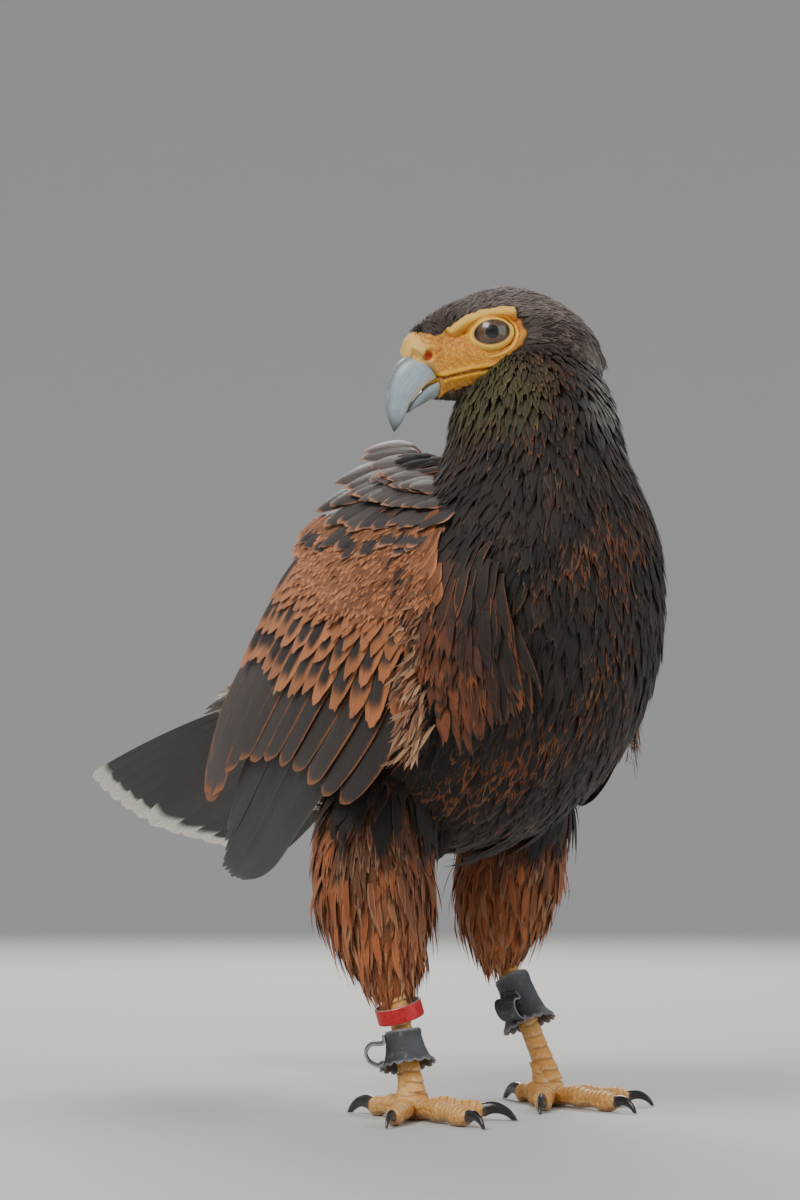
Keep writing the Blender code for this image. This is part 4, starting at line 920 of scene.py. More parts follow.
def body_skin():
    """Joins the set-in lofts and remeshes them in cubes of 2.2 mm, then relaxes the result."""
    sheet = bmesh.new()
    rings = [pressed(loft(trunk, (0.0, 1.0), 60, 72, COAT)), loft(head, (0.02, 0.55), 24, 48, 0.0030)]
    rings += [loft(thigh(side), (0.0, 0.97), 26, 36, 0.0040) for side in THIGHS]
    rings += [arm_block(side) for side in ("right", "left")]
    tail_u, tail_v = np.meshgrid(np.linspace(-0.012, 0.050, 12), np.linspace(0, 2 * np.pi, 25)[:-1],
                                 indexing="ij")
    girth = np.sin(np.pi * (0.30 + 0.62 * (tail_u + 0.012) / 0.062))
    root = np.stack([tail_u, 0.019 * girth * np.cos(tail_v), 0.0100 * girth * np.sin(tail_v)], -1)
    rings.append(root @ tail_axes() + TAIL_ROOT)
    for grid in rings:
        rows, around = grid.shape[:2]
        points = [sheet.verts.new(p) for p in grid.reshape(-1, 3)]
        for face in quads(rows, around, True):
            sheet.faces.new([points[k] for k in face])
        for row in (0, rows - 1):
            sheet.faces.new(points[row * around:(row + 1) * around])
    bmesh.ops.recalc_face_normals(sheet, faces=sheet.faces)
    rough = bpy.data.meshes.new("rough skin")
    sheet.to_mesh(rough)
    sheet.free()
    draft = bpy.data.objects.new("rough skin", rough)
    bpy.context.collection.objects.link(draft)
    cubes = draft.modifiers.new("cubes", "REMESH")
    cubes.mode, cubes.voxel_size = "VOXEL", 0.0022
    relax = draft.modifiers.new("relax", "SMOOTH")
    relax.factor, relax.iterations = 0.5, 6
    done = draft.evaluated_get(bpy.context.evaluated_depsgraph_get()).to_mesh()
    points = np.empty(len(done.vertices) * 3)
    done.vertices.foreach_get("co", points)
    corners = np.empty(len(done.loops), np.int32)
    done.loops.foreach_get("vertex_index", corners)
    faces = corners.reshape(-1, 4)
    bpy.data.objects.remove(draft)
    return points.reshape(-1, 3), faces


body_points, body_faces = body_skin()
print("body skin", len(body_points), "points", len(body_faces), "faces")

# %% Add the skin
def build_skin():
    """The remeshed body and the fine head in one piece. The head's ends close on small rings."""
    ends = [face_points[k].mean(0) + (face_points[k] - face_points[k].mean(0)) * 0.03 for k in (0, -1)]
    rings = np.concatenate([ends[0][None], face_points, ends[1][None]])
    rows, around = rings.shape[:2]
    faces = np.concatenate([body_faces, quads(rows, around, True) + len(body_points)])
    values = {}
    for title, value in face_masks.items():
        value = np.concatenate([value[:1], value, value[-1:]])
        values[title] = np.r_[np.zeros(len(body_points)), value.ravel()]
    skin = add_piece("hawk_skin", np.vstack([body_points, rings.reshape(-1, 3)]), faces, hawk_skin,
                     None, values)
    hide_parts("torso", "neck", "head", "thigh_right", "thigh_left")
    return skin


skin = build_skin()
print("skin triangles", len(skin.data.polygons) * 2)

# %% [markdown]
# The coat comes next, tract by tract. Roots are set out like roof tiles, and every feather points
# the way it grows: back from the face, down the neck, and along the body to the tail. Roots on
# bare skin, under a wing or inside another part are dropped, so no triangle is wasted.

# %% Plumage colours
SOOT = np.array((0.0095, 0.0075, 0.0070))
CHOCOLATE = np.array((0.024, 0.0155, 0.0120))
UMBER = np.array((0.068, 0.040, 0.026))
RUFOUS = np.array((0.33, 0.105, 0.034))
CHESTNUT = np.array((0.22, 0.060, 0.018))
SAND = np.array((0.50, 0.30, 0.17))
ASH = np.array((0.130, 0.106, 0.096))
OLIVE = np.array((0.100, 0.092, 0.034))
CREAM = np.array((0.72, 0.68, 0.61))


def mixed(share, first, second):
    """first + share * (second - first), for each feather."""
    share = np.clip(np.asarray(share, float), 0, 1)[..., None]
    return first * (1 - share) + second * share


def varied(tint, amount):
    """Each feather a little lighter or darker: colour * (1 + amount * chance)."""
    return tint * (1 + amount * chance.uniform(-1, 1, (len(tint), 1)))


NECK_TOP = 0.3215


def inside_trunk(points, margin=0.0):
    """True inside the neck and body: nearest place of the trunk's surface, measured on its normal.
    Nothing above the neck's open top counts as inside."""
    u, v = np.meshgrid(np.linspace(0, 1, 46), np.arange(40) / 40, indexing="ij")
    at, _, _, out = [a.reshape(-1, 3) for a in surface_frame(trunk, u, v)]
    k, _ = nearest(points, at)
    return (((points - at[k]) * out[k]).sum(-1) < -margin) & (points[:, 2] < NECK_TOP)


print("tints from soot", SOOT, "to cream", CREAM)

# %% Head feathers
def head_ways(roots):
    """Directions on the head: away from the lore, straight back on the crown, and turning down
    towards the nape. Each is the blend of three unit vectors."""
    local = to_head(roots)
    ahead, _, up = head_axes()
    away = local * (1, 0.25, 1) - (0.022, 0, -0.004)
    away[:, 1] = 0
    away = unit(away) @ head_axes()
    crown = ease(local[:, 2], 0.004, 0.012)[:, None]
    ways = unit(away * (1 - crown) - ahead * crown)
    rear = ease(-local[:, 0], 0.004, 0.036)[:, None]
    return unit(ways * (1 - 0.85 * rear) - up * 1.1 * rear)


def head_tints(roots):
    """Ash brown crown with painted sheen, dark cheeks, olive throat, and a pale nape patch with painted
    sheen.
    """
    local = to_head(roots)
    along, _, rise = local.T
    noise = waver(roots, 0.012, 21)
    # Painted sheen: the crown and the rims above the cheeks turn paler ash towards the top of the head.
    crown = ease(rise + 0.002 * noise, 0.004, 0.014)
    tint = mixed(crown, CHOCOLATE * 0.9, ASH * 0.80)
    throat = ease(-rise, 0.018, 0.026) * ease(along, -0.018, 0.004)
    tint = mixed(throat * 0.8, tint, OLIVE * 0.75)
    # The nape patch: pale feathers, made paler still by painted sheen.
    patch = bell(np.hypot(along + 0.032, (rise + 0.017) / 1.9), 0.0075)
    tint = mixed(patch * 0.9, tint, CREAM * 0.55)
    gape = bell(np.hypot(along - 0.0050, rise + 0.0165), 0.0030)
    tint = mixed(gape * 0.85, tint, CREAM * 0.7)
    rim = mixed(0.5 + 0.5 * noise, tint * 2.2 + 0.008, mixed(0.18, ASH * 1.6, RUFOUS * 0.7)[None])
    rim = mixed(ease(-rise, -0.004, 0.010) * 0.6, rim, tint * 1.9)
    near = 1 - ease(border_depth(local[:, [0, 2]], BARE) * -1, 0.0, 0.004)
    tint = mixed(near * 0.5, tint, ASH)
    return varied(tint, 0.30), varied(rim, 0.35)


def head_coat():
    """Small narrow feathers, 5 mm on the forehead and 10 mm at the nape."""
    u, v = shingle(head, (0.03, 0.985), (0, 1), 0.00125, 0.00120, 0.45)
    roots = head(u, v)
    local = to_head(roots)
    bare = border_depth(local[:, [0, 2]], BARE)
    keep = (bare < 0.0003) & ~inside_trunk(roots, 0.0015)
    u, v, roots, local, bare = u[keep], v[keep], roots[keep], local[keep], bare[keep]
    rear = ease(-local[:, 0], -0.02, 0.035)
    close = ease(-bare, 0, 0.006)
    length = (0.0042 + 0.0034 * close + 0.0044 * rear) * chance.uniform(0.8, 1.2, len(u))
    half = 0.00055 + 0.00024 * close + 0.0003 * rear
    ways = unit(head_ways(roots) + 0.14 * chance.normal(size=(len(u), 3)))
    tract = lay(head, u, v, ways, length, half, -0.0016,
                0.0002 + 0.0007 * chance.uniform(0, 1, len(u)) * close,
                5, 3, cup=0.30, fray=0.14, tip=0.22, root=0.45, sweep=0.9,
                bend=chance.normal(0, 0.06, len(u)))
    body, rim = head_tints(roots)
    return tract, (body, rim, chance.uniform(0.15, 0.55, len(u)))


head_feathers = coat("head_feathers", [head_coat()], soft_plumage)

# %% Feathers of the neck and the body
def drooping(back, rise, sway, count):
    """Directions back and up or down, each swayed by chance."""
    return unit(np.array([0, back, rise]) + sway * chance.normal(size=(count, 3)))


def trunk_ways(u, v):
    """Along the trunk towards the tail, leaning a little towards the belly on the sides."""
    _, along, across, _ = surface_frame(trunk, u, v)
    lean = 0.30 * np.sin(2 * np.pi * v) * ease(u, 0.30, 0.6)
    return unit(unit(along) - unit(across) * lean[:, None] + 0.10 * chance.normal(size=(len(u), 3)))


def trunk_tints(u, v, roots):
    """Dark chocolate with rufous rims, sooty below, ash on the neck's back, white round the tail."""
    noise, broad = waver(roots, 0.022, 31), waver(roots, 0.060, 32)
    belly = np.cos(2 * np.pi * v)
    tint = mixed(0.5 + 0.6 * noise, SOOT * 1.2, CHOCOLATE * 1.15)
    tint = mixed(ease(-belly, -0.2, 0.8) * (1 - ease(u, 0.25, 0.5)) * 0.55, tint, ASH * 0.6)
    local = to_head(roots)
    # The nape patch, as on the head: pale feathers, made paler still by painted sheen.
    patch = bell(np.hypot(local[:, 0] + 0.034, (local[:, 2] + 0.022) / 1.6), 0.0085)
    tint = mixed(patch * 0.7, tint, CREAM * 0.45)
    tint = mixed(ease(belly, 0.2, 0.9) * ease(u, 0.40, 0.60) * 0.6, tint, SOOT)
    throat = ease(local[:, 0] + 0.004 * noise, -0.010, 0.006) * (1 - ease(-local[:, 2], 0.026, 0.042))
    tint = mixed(throat * 0.72, tint, OLIVE * 0.70)
    rim = mixed(ease(broad + 0.5 * noise, -0.1, 0.9), UMBER * 0.85, RUFOUS * 0.50)
    rim = mixed(throat * 0.9, rim, OLIVE * 1.2)
    rim = mixed(patch * 0.7, rim, CREAM * 0.7)
    rim = mixed(chance.uniform(0, 1, len(u)) ** 9 * 0.6, rim, SAND * 0.45)
    width = np.clip(0.10 + 0.14 * broad + chance.normal(0, 0.10, len(u)), 0.01, 0.5)
    white = ease(u, 0.80, 0.87)
    tint, rim = mixed(white, tint, CREAM), mixed(white, rim, CREAM * 1.05)
    return varied(tint, 0.28), varied(rim, 0.30), width


def trunk_coat(u_span, v_span, step, row_step, length, half, rows, cols, rise):
    """Feathers over one stretch of the trunk, without those that a wing hides."""
    u, v = shingle(trunk, u_span, v_span, step, row_step, 0.35)
    roots = trunk(u, v)
    keep = np.ones(len(u), bool)
    for side in ("right", "left"):
        height, beside, _ = under_wing(roots, side)
        keep &= ~((beside < 0.003) & (height > -0.024) & (height < 0.03))
    u, v, roots = u[keep], v[keep], roots[keep]
    long = (length[0] + (length[1] - length[0]) * ease(u, *u_span)) * chance.uniform(0.85, 1.15, len(u))
    wide = (half[0] + (half[1] - half[0]) * ease(u, *u_span)) * chance.uniform(0.85, 1.15, len(u))
    lift = rise * chance.uniform(0.2, 1.0, len(u)) ** 2
    tract = lay(trunk, u, v, trunk_ways(u, v), long, wide, -0.0036, lift, rows, cols,
                roll=chance.normal(0, 0.07, len(u)), cup=0.16, fray=0.20, sweep=0.95, tip=0.34,
                bend=chance.normal(0, 0.06, len(u)))
    return tract, trunk_tints(u, v, roots)


def belly_plumes():
    """Long loose sooty feathers that hang from the belly between the thighs."""
    count = 130
    u, v = chance.uniform(0.60, 0.80, count), chance.uniform(-0.13, 0.13, count)
    way = drooping(0.75, -1.0, 0.16, count)
    tract = lay(trunk, u, v, way, chance.uniform(0.020, 0.032, count), chance.uniform(0.0022, 0.0036, count),
                -0.0020, chance.uniform(0.002, 0.008, count), 9, 5, cup=0.16, fray=0.2, sweep=1.0, tip=0.3,
                roll=chance.normal(0, 0.2, count), bend=chance.normal(0, 0.10, count))
    body = mixed(chance.uniform(0, 1, count), SOOT, CHOCOLATE)
    rim = mixed(chance.uniform(0, 1, count) ** 3, UMBER * 0.6, CHESTNUT * 0.7)
    return tract, (body, rim, chance.uniform(0.02, 0.2, count))


jaw = trunk_coat((-0.01, 0.085), (0, 1), 0.0017, 0.0018, (0.0068, 0.0100), (0.0007, 0.0012), 5, 3, 0.0007)
neck = trunk_coat((0.08, 0.27), (0, 1), 0.0023, 0.0024, (0.0110, 0.0165), (0.0012, 0.0019), 5, 4, 0.0010)
neck_feathers = coat("neck_feathers", [jaw, neck], soft_plumage)
breast = trunk_coat((0.25, 0.80), (-0.27, 0.27), 0.0035, 0.0037, (0.017, 0.026), (0.0022, 0.0036), 6, 5,
                    0.0014)
breast_feathers = coat("breast_feathers", [breast], soft_plumage)
back = trunk_coat((0.25, 0.94), (0.27, 0.73), 0.0044, 0.0048, (0.018, 0.026), (0.0032, 0.0046), 6, 5, 0.0012)
plumes = belly_plumes()
rump = trunk_coat((0.79, 0.94), (-0.27, 0.27), 0.0040, 0.0044, (0.024, 0.030), (0.0034, 0.0040), 6, 5,
                  0.0018)
back_feathers = coat("back_feathers", [back, rump, plumes], soft_plumage)

# %% [markdown]
# The thighs wear long loose feathers that hang like trousers and end in a shaggy hem over
# the shank. They are rufous, with dark smudges in front and pale shaft streaks.

# %% Thigh feathers
def thigh_tints(u, v, roots):
    """Rufous to chestnut, a dark smudge on the front and inner side, and pale wisps near the hem."""
    noise = waver(roots, 0.018, 41)
    tint = mixed(0.5 + 0.7 * noise, CHESTNUT * 1.3, RUFOUS * 1.12)
    front = np.cos(2 * np.pi * (v - 0.56)) * 0.5 + 0.5
    smudge = ease(front + 0.35 * noise, 0.66, 1.0) * (1 - ease(u, 0.35, 0.65))
    tint = mixed(smudge * 0.75, tint, SOOT * 1.6)
    pale = (chance.uniform(0, 1, len(u)) > 0.88) * ease(u, 0.35, 0.8)
    tint = mixed(pale * 0.55, tint, SAND)
    rim = mixed(chance.uniform(0, 1, len(u)) * 0.7, tint * 1.25, SAND * 0.8)
    return varied(tint, 0.25), rim, chance.uniform(0.05, 0.4, len(u))


def thigh_coat(side):
    """Rows down the thigh, a hem of thinner locks that hang past the last row, and loose locks
    that stand off the lower thigh and hang nearly straight down."""
    surface = thigh(side)
    u, v = shingle(surface, (0.0, 0.88), (0, 1), 0.0024, 0.0030, 0.45)
    roots = surface(u, v)
    keep = ~inside_trunk(roots, 0.004)
    u, v, roots = u[keep], v[keep], roots[keep]
    down = drooping(0.10, -1.0, 0.09, len(u))
    cover = lay(surface, u, v, down, 0.0195 * chance.uniform(0.7, 1.25, len(u)), 0.00125, -0.0034,
                0.0006 + 0.0020 * chance.uniform(0, 1, len(u)) ** 2, 6, 3, fray=0.20, sweep=1.0,
                tip=0.22, bend=chance.normal(0, 0.08, len(u)))
    count = 330
    hem_v = (np.arange(count) * 0.618034) % 1
    hem_u = 0.76 + 0.20 * chance.uniform(0, 1, count)
    down = drooping(0.02, -1.0, 0.12, count)
    hem = lay(surface, hem_u, hem_v, down, chance.uniform(0.011, 0.021, count), 0.0010, -0.0030,
              0.0014, 6, 3, fray=0.25, sweep=1.2, tip=0.12, bend=chance.normal(0, 0.12, count))
    count = 210
    lock_v = (np.arange(count) * 0.618034 + 0.31) % 1
    lock_u = 0.42 + 0.36 * chance.uniform(0, 1, count)
    down = drooping(0.04, -1.0, 0.07, count)
    locks = lay(surface, lock_u, lock_v, down, chance.uniform(0.016, 0.025, count), 0.0015, -0.0030,
                chance.uniform(0.0015, 0.0070, count), 7, 4, cup=0.2, fray=0.25, sweep=1.1, tip=0.16,
                bend=chance.normal(0, 0.09, count))
    return ((cover, thigh_tints(u, v, roots)),
            (hem, thigh_tints(hem_u, hem_v, surface(hem_u, hem_v))),
            (locks, thigh_tints(lock_u, lock_v, surface(lock_u, lock_v))))


def flank_plumes(side):
    """Long sooty feathers that leave the belly above the thigh and hang over its front, laid on
    the thigh's surface carried on straight above the hip."""
    surface = thigh(side)
    outer = 0.75 if side == "right" else 0.25
    count = 150
    v = 0.5 + (outer - 0.5) * chance.uniform(-0.75, 1.0, count)
    u = chance.uniform(-0.20, 0.10, count) - 0.10 * np.abs(v - 0.5)
    down = drooping(0.16, -1.0, 0.10, count)
    length = chance.uniform(0.022, 0.036, count)
    tract = lay(surface, u, v, down, length, chance.uniform(0.0026, 0.0044, count), 0.0010,
                chance.uniform(0.0015, 0.0052, count), 9, 5, cup=0.16, fray=0.12, sweep=0.95, tip=0.36,
                roll=chance.normal(0, 0.10, count), bend=chance.normal(0, 0.05, count))
    body = mixed(chance.uniform(0, 1, count), SOOT, CHOCOLATE)
    rim = mixed(chance.uniform(0, 1, count) ** 2, UMBER * 0.6, CHESTNUT * 0.6)
    return tract, (body, rim, chance.uniform(0.02, 0.22, count))


for side in THIGHS:
    laid = thigh_coat(side) + (flank_plumes(side),)
    piece = coat("thigh_feathers_" + side, laid, soft_plumage)

# %% [markdown]
# A folded wing is a stack of tiers. Primaries lie deepest, then secondaries, greater and median
# coverts, many small lesser coverts over the arm, and the scapulars on top. Each tier is planned
# by the line of its tips on the wing's own map, as those lines are what the eye reads. The way a
# feather points turns from straight back, near the spine, to steeply down at the wrist.

# %% Growth of the wing's feathers
def turned(surface, u, v, degrees):
    """Directions on a surface, turned from its u towards its v."""
    _, along, across, _ = surface_frame(surface, u, v)
    turn = np.radians(degrees)[:, None]
    return unit(unit(along) * np.cos(turn) + unit(across) * np.sin(turn))


def wing_ways(surface, u, v):
    """Along u, turned towards v by 5 degrees at the dorsal rear up to 65 at the lower front."""
    return turned(surface, u, v, 5 + 60 * ease(v - u, -0.5, 0.9))


def tier(side, tips, count, length, half, low, high, rows, cols, roots=None, scatter=0.006, **form):
    """One tier whose tips stand evenly on a line of the map. Without a root line, each root lies
    a feather's length back along the growth."""
    surface = wing(side)
    mirror = 1 if side == "right" else -1
    s = (np.arange(count) + 0.5) / count
    tip_u, tip_v = (through(tips, s) + chance.normal(0, scatter, (count, 2))).T
    if roots is None:
        length = spread(length, count) * chance.uniform(0.92, 1.08, count)
        du, dv = map_steps(surface, tip_u, tip_v, wing_ways(surface, tip_u, tip_v), length)
        u, v = tip_u - du, tip_v - dv
    else:
        u, v = through(roots, s).T
    lean = mirror * math.radians(7) + chance.normal(0, 0.03, count)
    return lay(surface, u, v, None, None, half, low, high + chance.uniform(0, 0.0004, count), rows, cols,
               ends=(tip_u, tip_v), roll=lean, bend=mirror * form.pop("bend", 0.0), **form), s


def tier_tints(s, count, front, rear, rim, width, change=0.18):
    """Body colour from the rear feather to the front one, with one rim colour and width."""
    body = varied(mixed(s, np.asarray(rear), np.asarray(front)), change)
    rims = varied(np.tile(rim, (count, 1)), change)
    return body, rims, spread(width, count) * chance.uniform(0.75, 1.25, count)


FLIGHT_DARK = np.array((0.020, 0.0165, 0.0155))
SECONDARY = np.array((0.052, 0.041, 0.036))
RUST_RIM = np.array((0.40, 0.140, 0.048))
PINK_RUST = np.array((0.50, 0.205, 0.095))
print("growth turns", 5, "to", 65, "degrees")

# %% Flight feathers
PRIMARY_ROOTS = ((0.22, 0.36), (0.16, 0.56), (0.10, 0.76))
PRIMARY_TIPS = ((0.95, 0.50), (1.01, 0.62), (1.07, 0.76), (1.08, 0.88), (1.05, 0.98), (0.98, 1.04))
SECONDARY_ROOTS = ((0.30, 0.05), (0.26, 0.20), (0.18, 0.44), (0.08, 0.80))
SECONDARY_TIPS = ((0.86, 0.02), (0.98, 0.10), (0.96, 0.20), (0.78, 0.36), (0.68, 0.50), (0.59, 0.65),
                  (0.51, 0.78), (0.43, 0.90), (0.37, 1.01))


def flight_feathers(side):
    """Ten primaries under thirteen secondaries, stiff and nearly flat, with pale rims at the tips."""
    primaries, s = tier(side, PRIMARY_TIPS, 10, 0, 0.0068, -0.0094, -0.0084, 26, 9, PRIMARY_ROOTS,
                        cup=0.14, fray=0.004, sweep=1.4, tip=0.24, bend=0.03)
    first = tier_tints(s, 10, FLIGHT_DARK, FLIGHT_DARK * 1.5, SECONDARY * 1.6, 0.09)
    secondaries, s = tier(side, SECONDARY_TIPS, 13, 0, 0.0116, -0.0064, -0.0052, 26, 9, SECONDARY_ROOTS,
                          cup=0.12, fray=0.006, sweep=0.75, tip=0.55, bend=0.02)
    second = tier_tints(s, 13, SECONDARY * 0.6, SECONDARY * 1.25, RUST_RIM * 0.75, 0.085)
    piece = coat("wing_flight_" + side, [(primaries, first), (secondaries, second)],
                 flight_plumage, 5)
    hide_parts("wing_" + side)


for side in ("right", "left"):
    flight_feathers(side)

# %% Greater and median coverts
GREATER_TIPS = ((0.66, 0.03), (0.60, 0.16), (0.55, 0.29), (0.50, 0.46), (0.42, 0.58), (0.34, 0.70),
                (0.25, 0.82), (0.15, 0.93))
MEDIAN_TIPS = ((0.55, 0.02), (0.49, 0.14), (0.42, 0.28), (0.34, 0.43), (0.26, 0.55), (0.18, 0.67),
               (0.07, 0.81))
LESSER_TIPS = ((0.41, 0.15), (0.345, 0.29), (0.285, 0.42), (0.20, 0.52), (0.12, 0.60), (0.03, 0.70))


def between(first, last, share):
    """A line on the map part of the way from one tip line to another."""
    s = np.linspace(0, 1, 8)
    return through(first, s) * (1 - share) + through(last, s) * share


def covert_feathers(side):
    """Dark teardrop centres in rufous: the rim grows wider from tier to tier towards the arm."""
    laid = []
    for tips, count, length, half, height, rows, shade, width in (
            (GREATER_TIPS, 13, 0.062, 0.0092, -0.0030, 14, 0.62, 0.34),
            (between(MEDIAN_TIPS, GREATER_TIPS, 0.42), 13, 0.040, 0.0078, -0.0016, 12, 0.60, 0.46),
            (MEDIAN_TIPS, 14, 0.030, 0.0066, -0.0006, 11, 0.62, 0.60),
            (between(LESSER_TIPS, MEDIAN_TIPS, 0.52), 15, 0.022, 0.0052, 0.0004, 10, 0.66, 0.74)):
        tract, s = tier(side, tips, count, length, half, height - 0.0012, height + 0.0006, rows, 9,
                        scatter=0.008, cup=0.20, fray=0.03, sweep=0.70, tip=0.55)
        rim = mixed(s, PINK_RUST, RUST_RIM)
        body = varied(np.tile(SECONDARY * shade, (count, 1)), 0.25)
        laid.append((tract, (body, varied(rim, 0.18), width * chance.uniform(0.82, 1.2, count))))
    piece = coat("wing_coverts_" + side, laid, flight_plumage, 8)


for side in ("right", "left"):
    covert_feathers(side)

# %% Lesser coverts
SCAPULAR_TIPS = ((0.43, -0.02), (0.36, 0.10), (0.30, 0.18), (0.225, 0.24), (0.14, 0.31), (0.08, 0.37),
                 (0.035, 0.40))


def lesser_feathers(side):
    """Many small plain rufous feathers in rows between the scapulars and the median coverts."""
    laid = []
    for k, share in enumerate(np.linspace(1.02, -0.24, 14)):
        tips = between(SCAPULAR_TIPS, LESSER_TIPS, share)
        tract, s = tier(side, tips, 29 + k % 2, 0.0160, 0.0038, -0.0002, 0.0019, 8, 7, scatter=0.009,
                        cup=0.30, fray=0.10, sweep=0.85, tip=0.42)
        noise = waver(tract["root"], 0.022, 51)
        body = mixed(s * 0.9 + 0.25 * noise, PINK_RUST * 1.05, RUST_RIM * 0.80)
        laid.append((tract, (varied(body * 0.58, 0.30), varied(body * 1.20, 0.15),
                             chance.uniform(0.14, 0.40, len(s)))))
    piece = coat("wing_lesser_" + side, laid, soft_plumage)


print("lesser coverts are laid in rows between", len(LESSER_TIPS), "tips")

# %% Scapulars
def scapular_feathers(side):
    """Broad dark feathers with thin rufous rims, in rows from the back over the wing's top; painted sheen
    makes the top rows and rims paler ash. Their quills dive below the mantle, so no root shows."""
    laid = []
    for k, back in enumerate((0, 0.055, 0.11, 0.165)):
        tips = np.array(SCAPULAR_TIPS) - (back, back)
        count = 13 - k
        long = (0.036 - 0.003 * k) * (1 - 0.45 * np.linspace(0, 1, count) ** 3)
        tract, _ = tier(side, tips[:7 - k], count, long, 0.0088 - 0.0006 * k, -0.0060,
                        0.0030 + 0.0004 * k, 12, 9, scatter=0.010, cup=0.22, fray=0.03, sweep=0.7, tip=0.55)
        # Painted sheen: each row nearer the top is paler ash, and the rims carry ash too.
        body = mixed(0.10 + 0.18 * k * np.ones(count), SECONDARY * 0.70, ASH * 0.85)
        laid.append((tract, (varied(body, 0.3), varied(mixed(0.25 * np.ones(count), RUST_RIM, ASH * 2), 0.3),
                      chance.uniform(0.06, 0.20, count))))
    piece = coat("wing_scapulars_" + side, laid, flight_plumage, 8)


print("scapular tips", len(SCAPULAR_TIPS))

# %% The wing's edge, and all three tracts
# Each row's start on the wing's map, and its feathers' length and height above the wing in metres
EDGE_ROWS = ((-0.085, 0.024, -0.0034), (-0.064, 0.024, -0.0014), (-0.043, 0.023, 0.0006),
             (-0.022, 0.022, 0.0016), (-0.001, 0.021, 0.0018), (0.020, 0.020, 0.0016),
             (0.041, 0.018, 0.0014), (0.062, 0.016, 0.0012))


def edge_feathers(side):
    """Soft feathers that wrap the wing's front edge: dark brown above, chestnut in the middle, and
    a downy buff fringe along the lower front, so that the wing sits in the plumage."""
    surface = wing(side)
    laid = []
    count = 46
    for start, length, height in EDGE_ROWS:
        v = np.linspace(-0.16, 1.04, count) + chance.normal(0, 0.012, count)
        u = start + 0.10 * (0.55 - v) ** 2 + chance.normal(0, 0.007, count)
        way = turned(surface, u, v, 28 + 34 * ease(v, 0.1, 0.9) + chance.normal(0, 5, count))
        high = height + 0.0012 * chance.uniform(-1, 1, count)
        tract = lay(surface, u, v, way, length * chance.uniform(0.8, 1.2, count), 0.0026, height - 0.0060,
                    high, 7, 5, cup=0.16, fray=0.20, sweep=0.95, tip=0.32,
                    bend=chance.normal(0, 0.05, count))
        noise = waver(tract["root"], 0.020, 61)
        rusty = ease(v + 0.15 * noise, 0.30, 0.60) * ease(start, -0.05, 0.03)
        body = mixed(rusty * 0.8, mixed(0.5 + 0.6 * noise, SOOT * 1.3, CHOCOLATE * 1.2),
                     CHESTNUT * 0.75)
        rim = mixed(ease(noise, -0.2, 0.8), UMBER * 0.8, RUFOUS * 0.65)
        laid.append((tract, (varied(body, 0.3), rim, chance.uniform(0.04, 0.34, count))))
    count = 240
    v = chance.uniform(0.30, 1.03, count)
    u = 0.045 + 0.10 * ease(v, 0.55, 1.0) + chance.normal(0, 0.016, count)
    way = turned(surface, u, v, 20 + chance.normal(0, 16, count))
    tract = lay(surface, u, v, way, chance.uniform(0.007, 0.014, count), 0.0008, -0.0030,
                chance.uniform(0.0008, 0.0034, count), 6, 3, cup=0.1, fray=0.25, sweep=1.2, tip=0.12,
                bend=chance.normal(0, 0.12, count))
    pale = chance.uniform(0, 1, count) ** 1.5 * ease(v, 0.45, 0.75)
    body = mixed(pale * 0.9, mixed(chance.uniform(0, 1, count), UMBER, CHESTNUT), SAND)
    laid.append((tract, (varied(body, 0.2), body * 1.3, 0.3)))
    piece = coat("wing_edge_" + side, laid, soft_plumage)


for side in ("right", "left"):
    lesser_feathers(side)
    scapular_feathers(side)
    edge_feathers(side)

# %% [markdown]
# The closed tail is twelve feathers stacked like a fan: the middle pair on top, each next one a
# step lower. The colour runs along each feather: white base, black body and a white tip band.

# %% Tail
TAIL_STEP = 0.0009


def fan(count, start, end, half, height, rows, reach=1.0, **form):
    """Feathers of the tail's map. Rank r lies r steps lower, and outer ones end a tenth sooner."""
    place = (np.arange(count) - (count - 1) / 2) / ((count - 1) / 2)
    rank = np.abs(place) * (count - 1) / 2 + 0.5 * (place > 0)
    level = height - rank * TAIL_STEP
    tip = start + (end - start) * (1 - 0.10 * place**2)
    tract = lay(tail_fan, np.full(count, start), place * reach, None, None, half, level, level, rows, 11,
                ends=(tip, place * reach), **form)
    return tract, place


def tail_tints(tract, white_to, band_from):
    """White up to white_to, black from there, and white again past band_from, by the place along."""
    t = tract["t"][None, :, None]
    count = len(tract["points"])
    wave = chance.normal(0, 0.008, (count, 1, 1))
    base = 1 - ease(t + wave, white_to - 0.05, white_to + 0.02)
    white = base + ease(t + wave, band_from - 0.008, band_from + 0.008)
    return SOOT * 1.7 * (1 - white) + CREAM * 1.02 * white


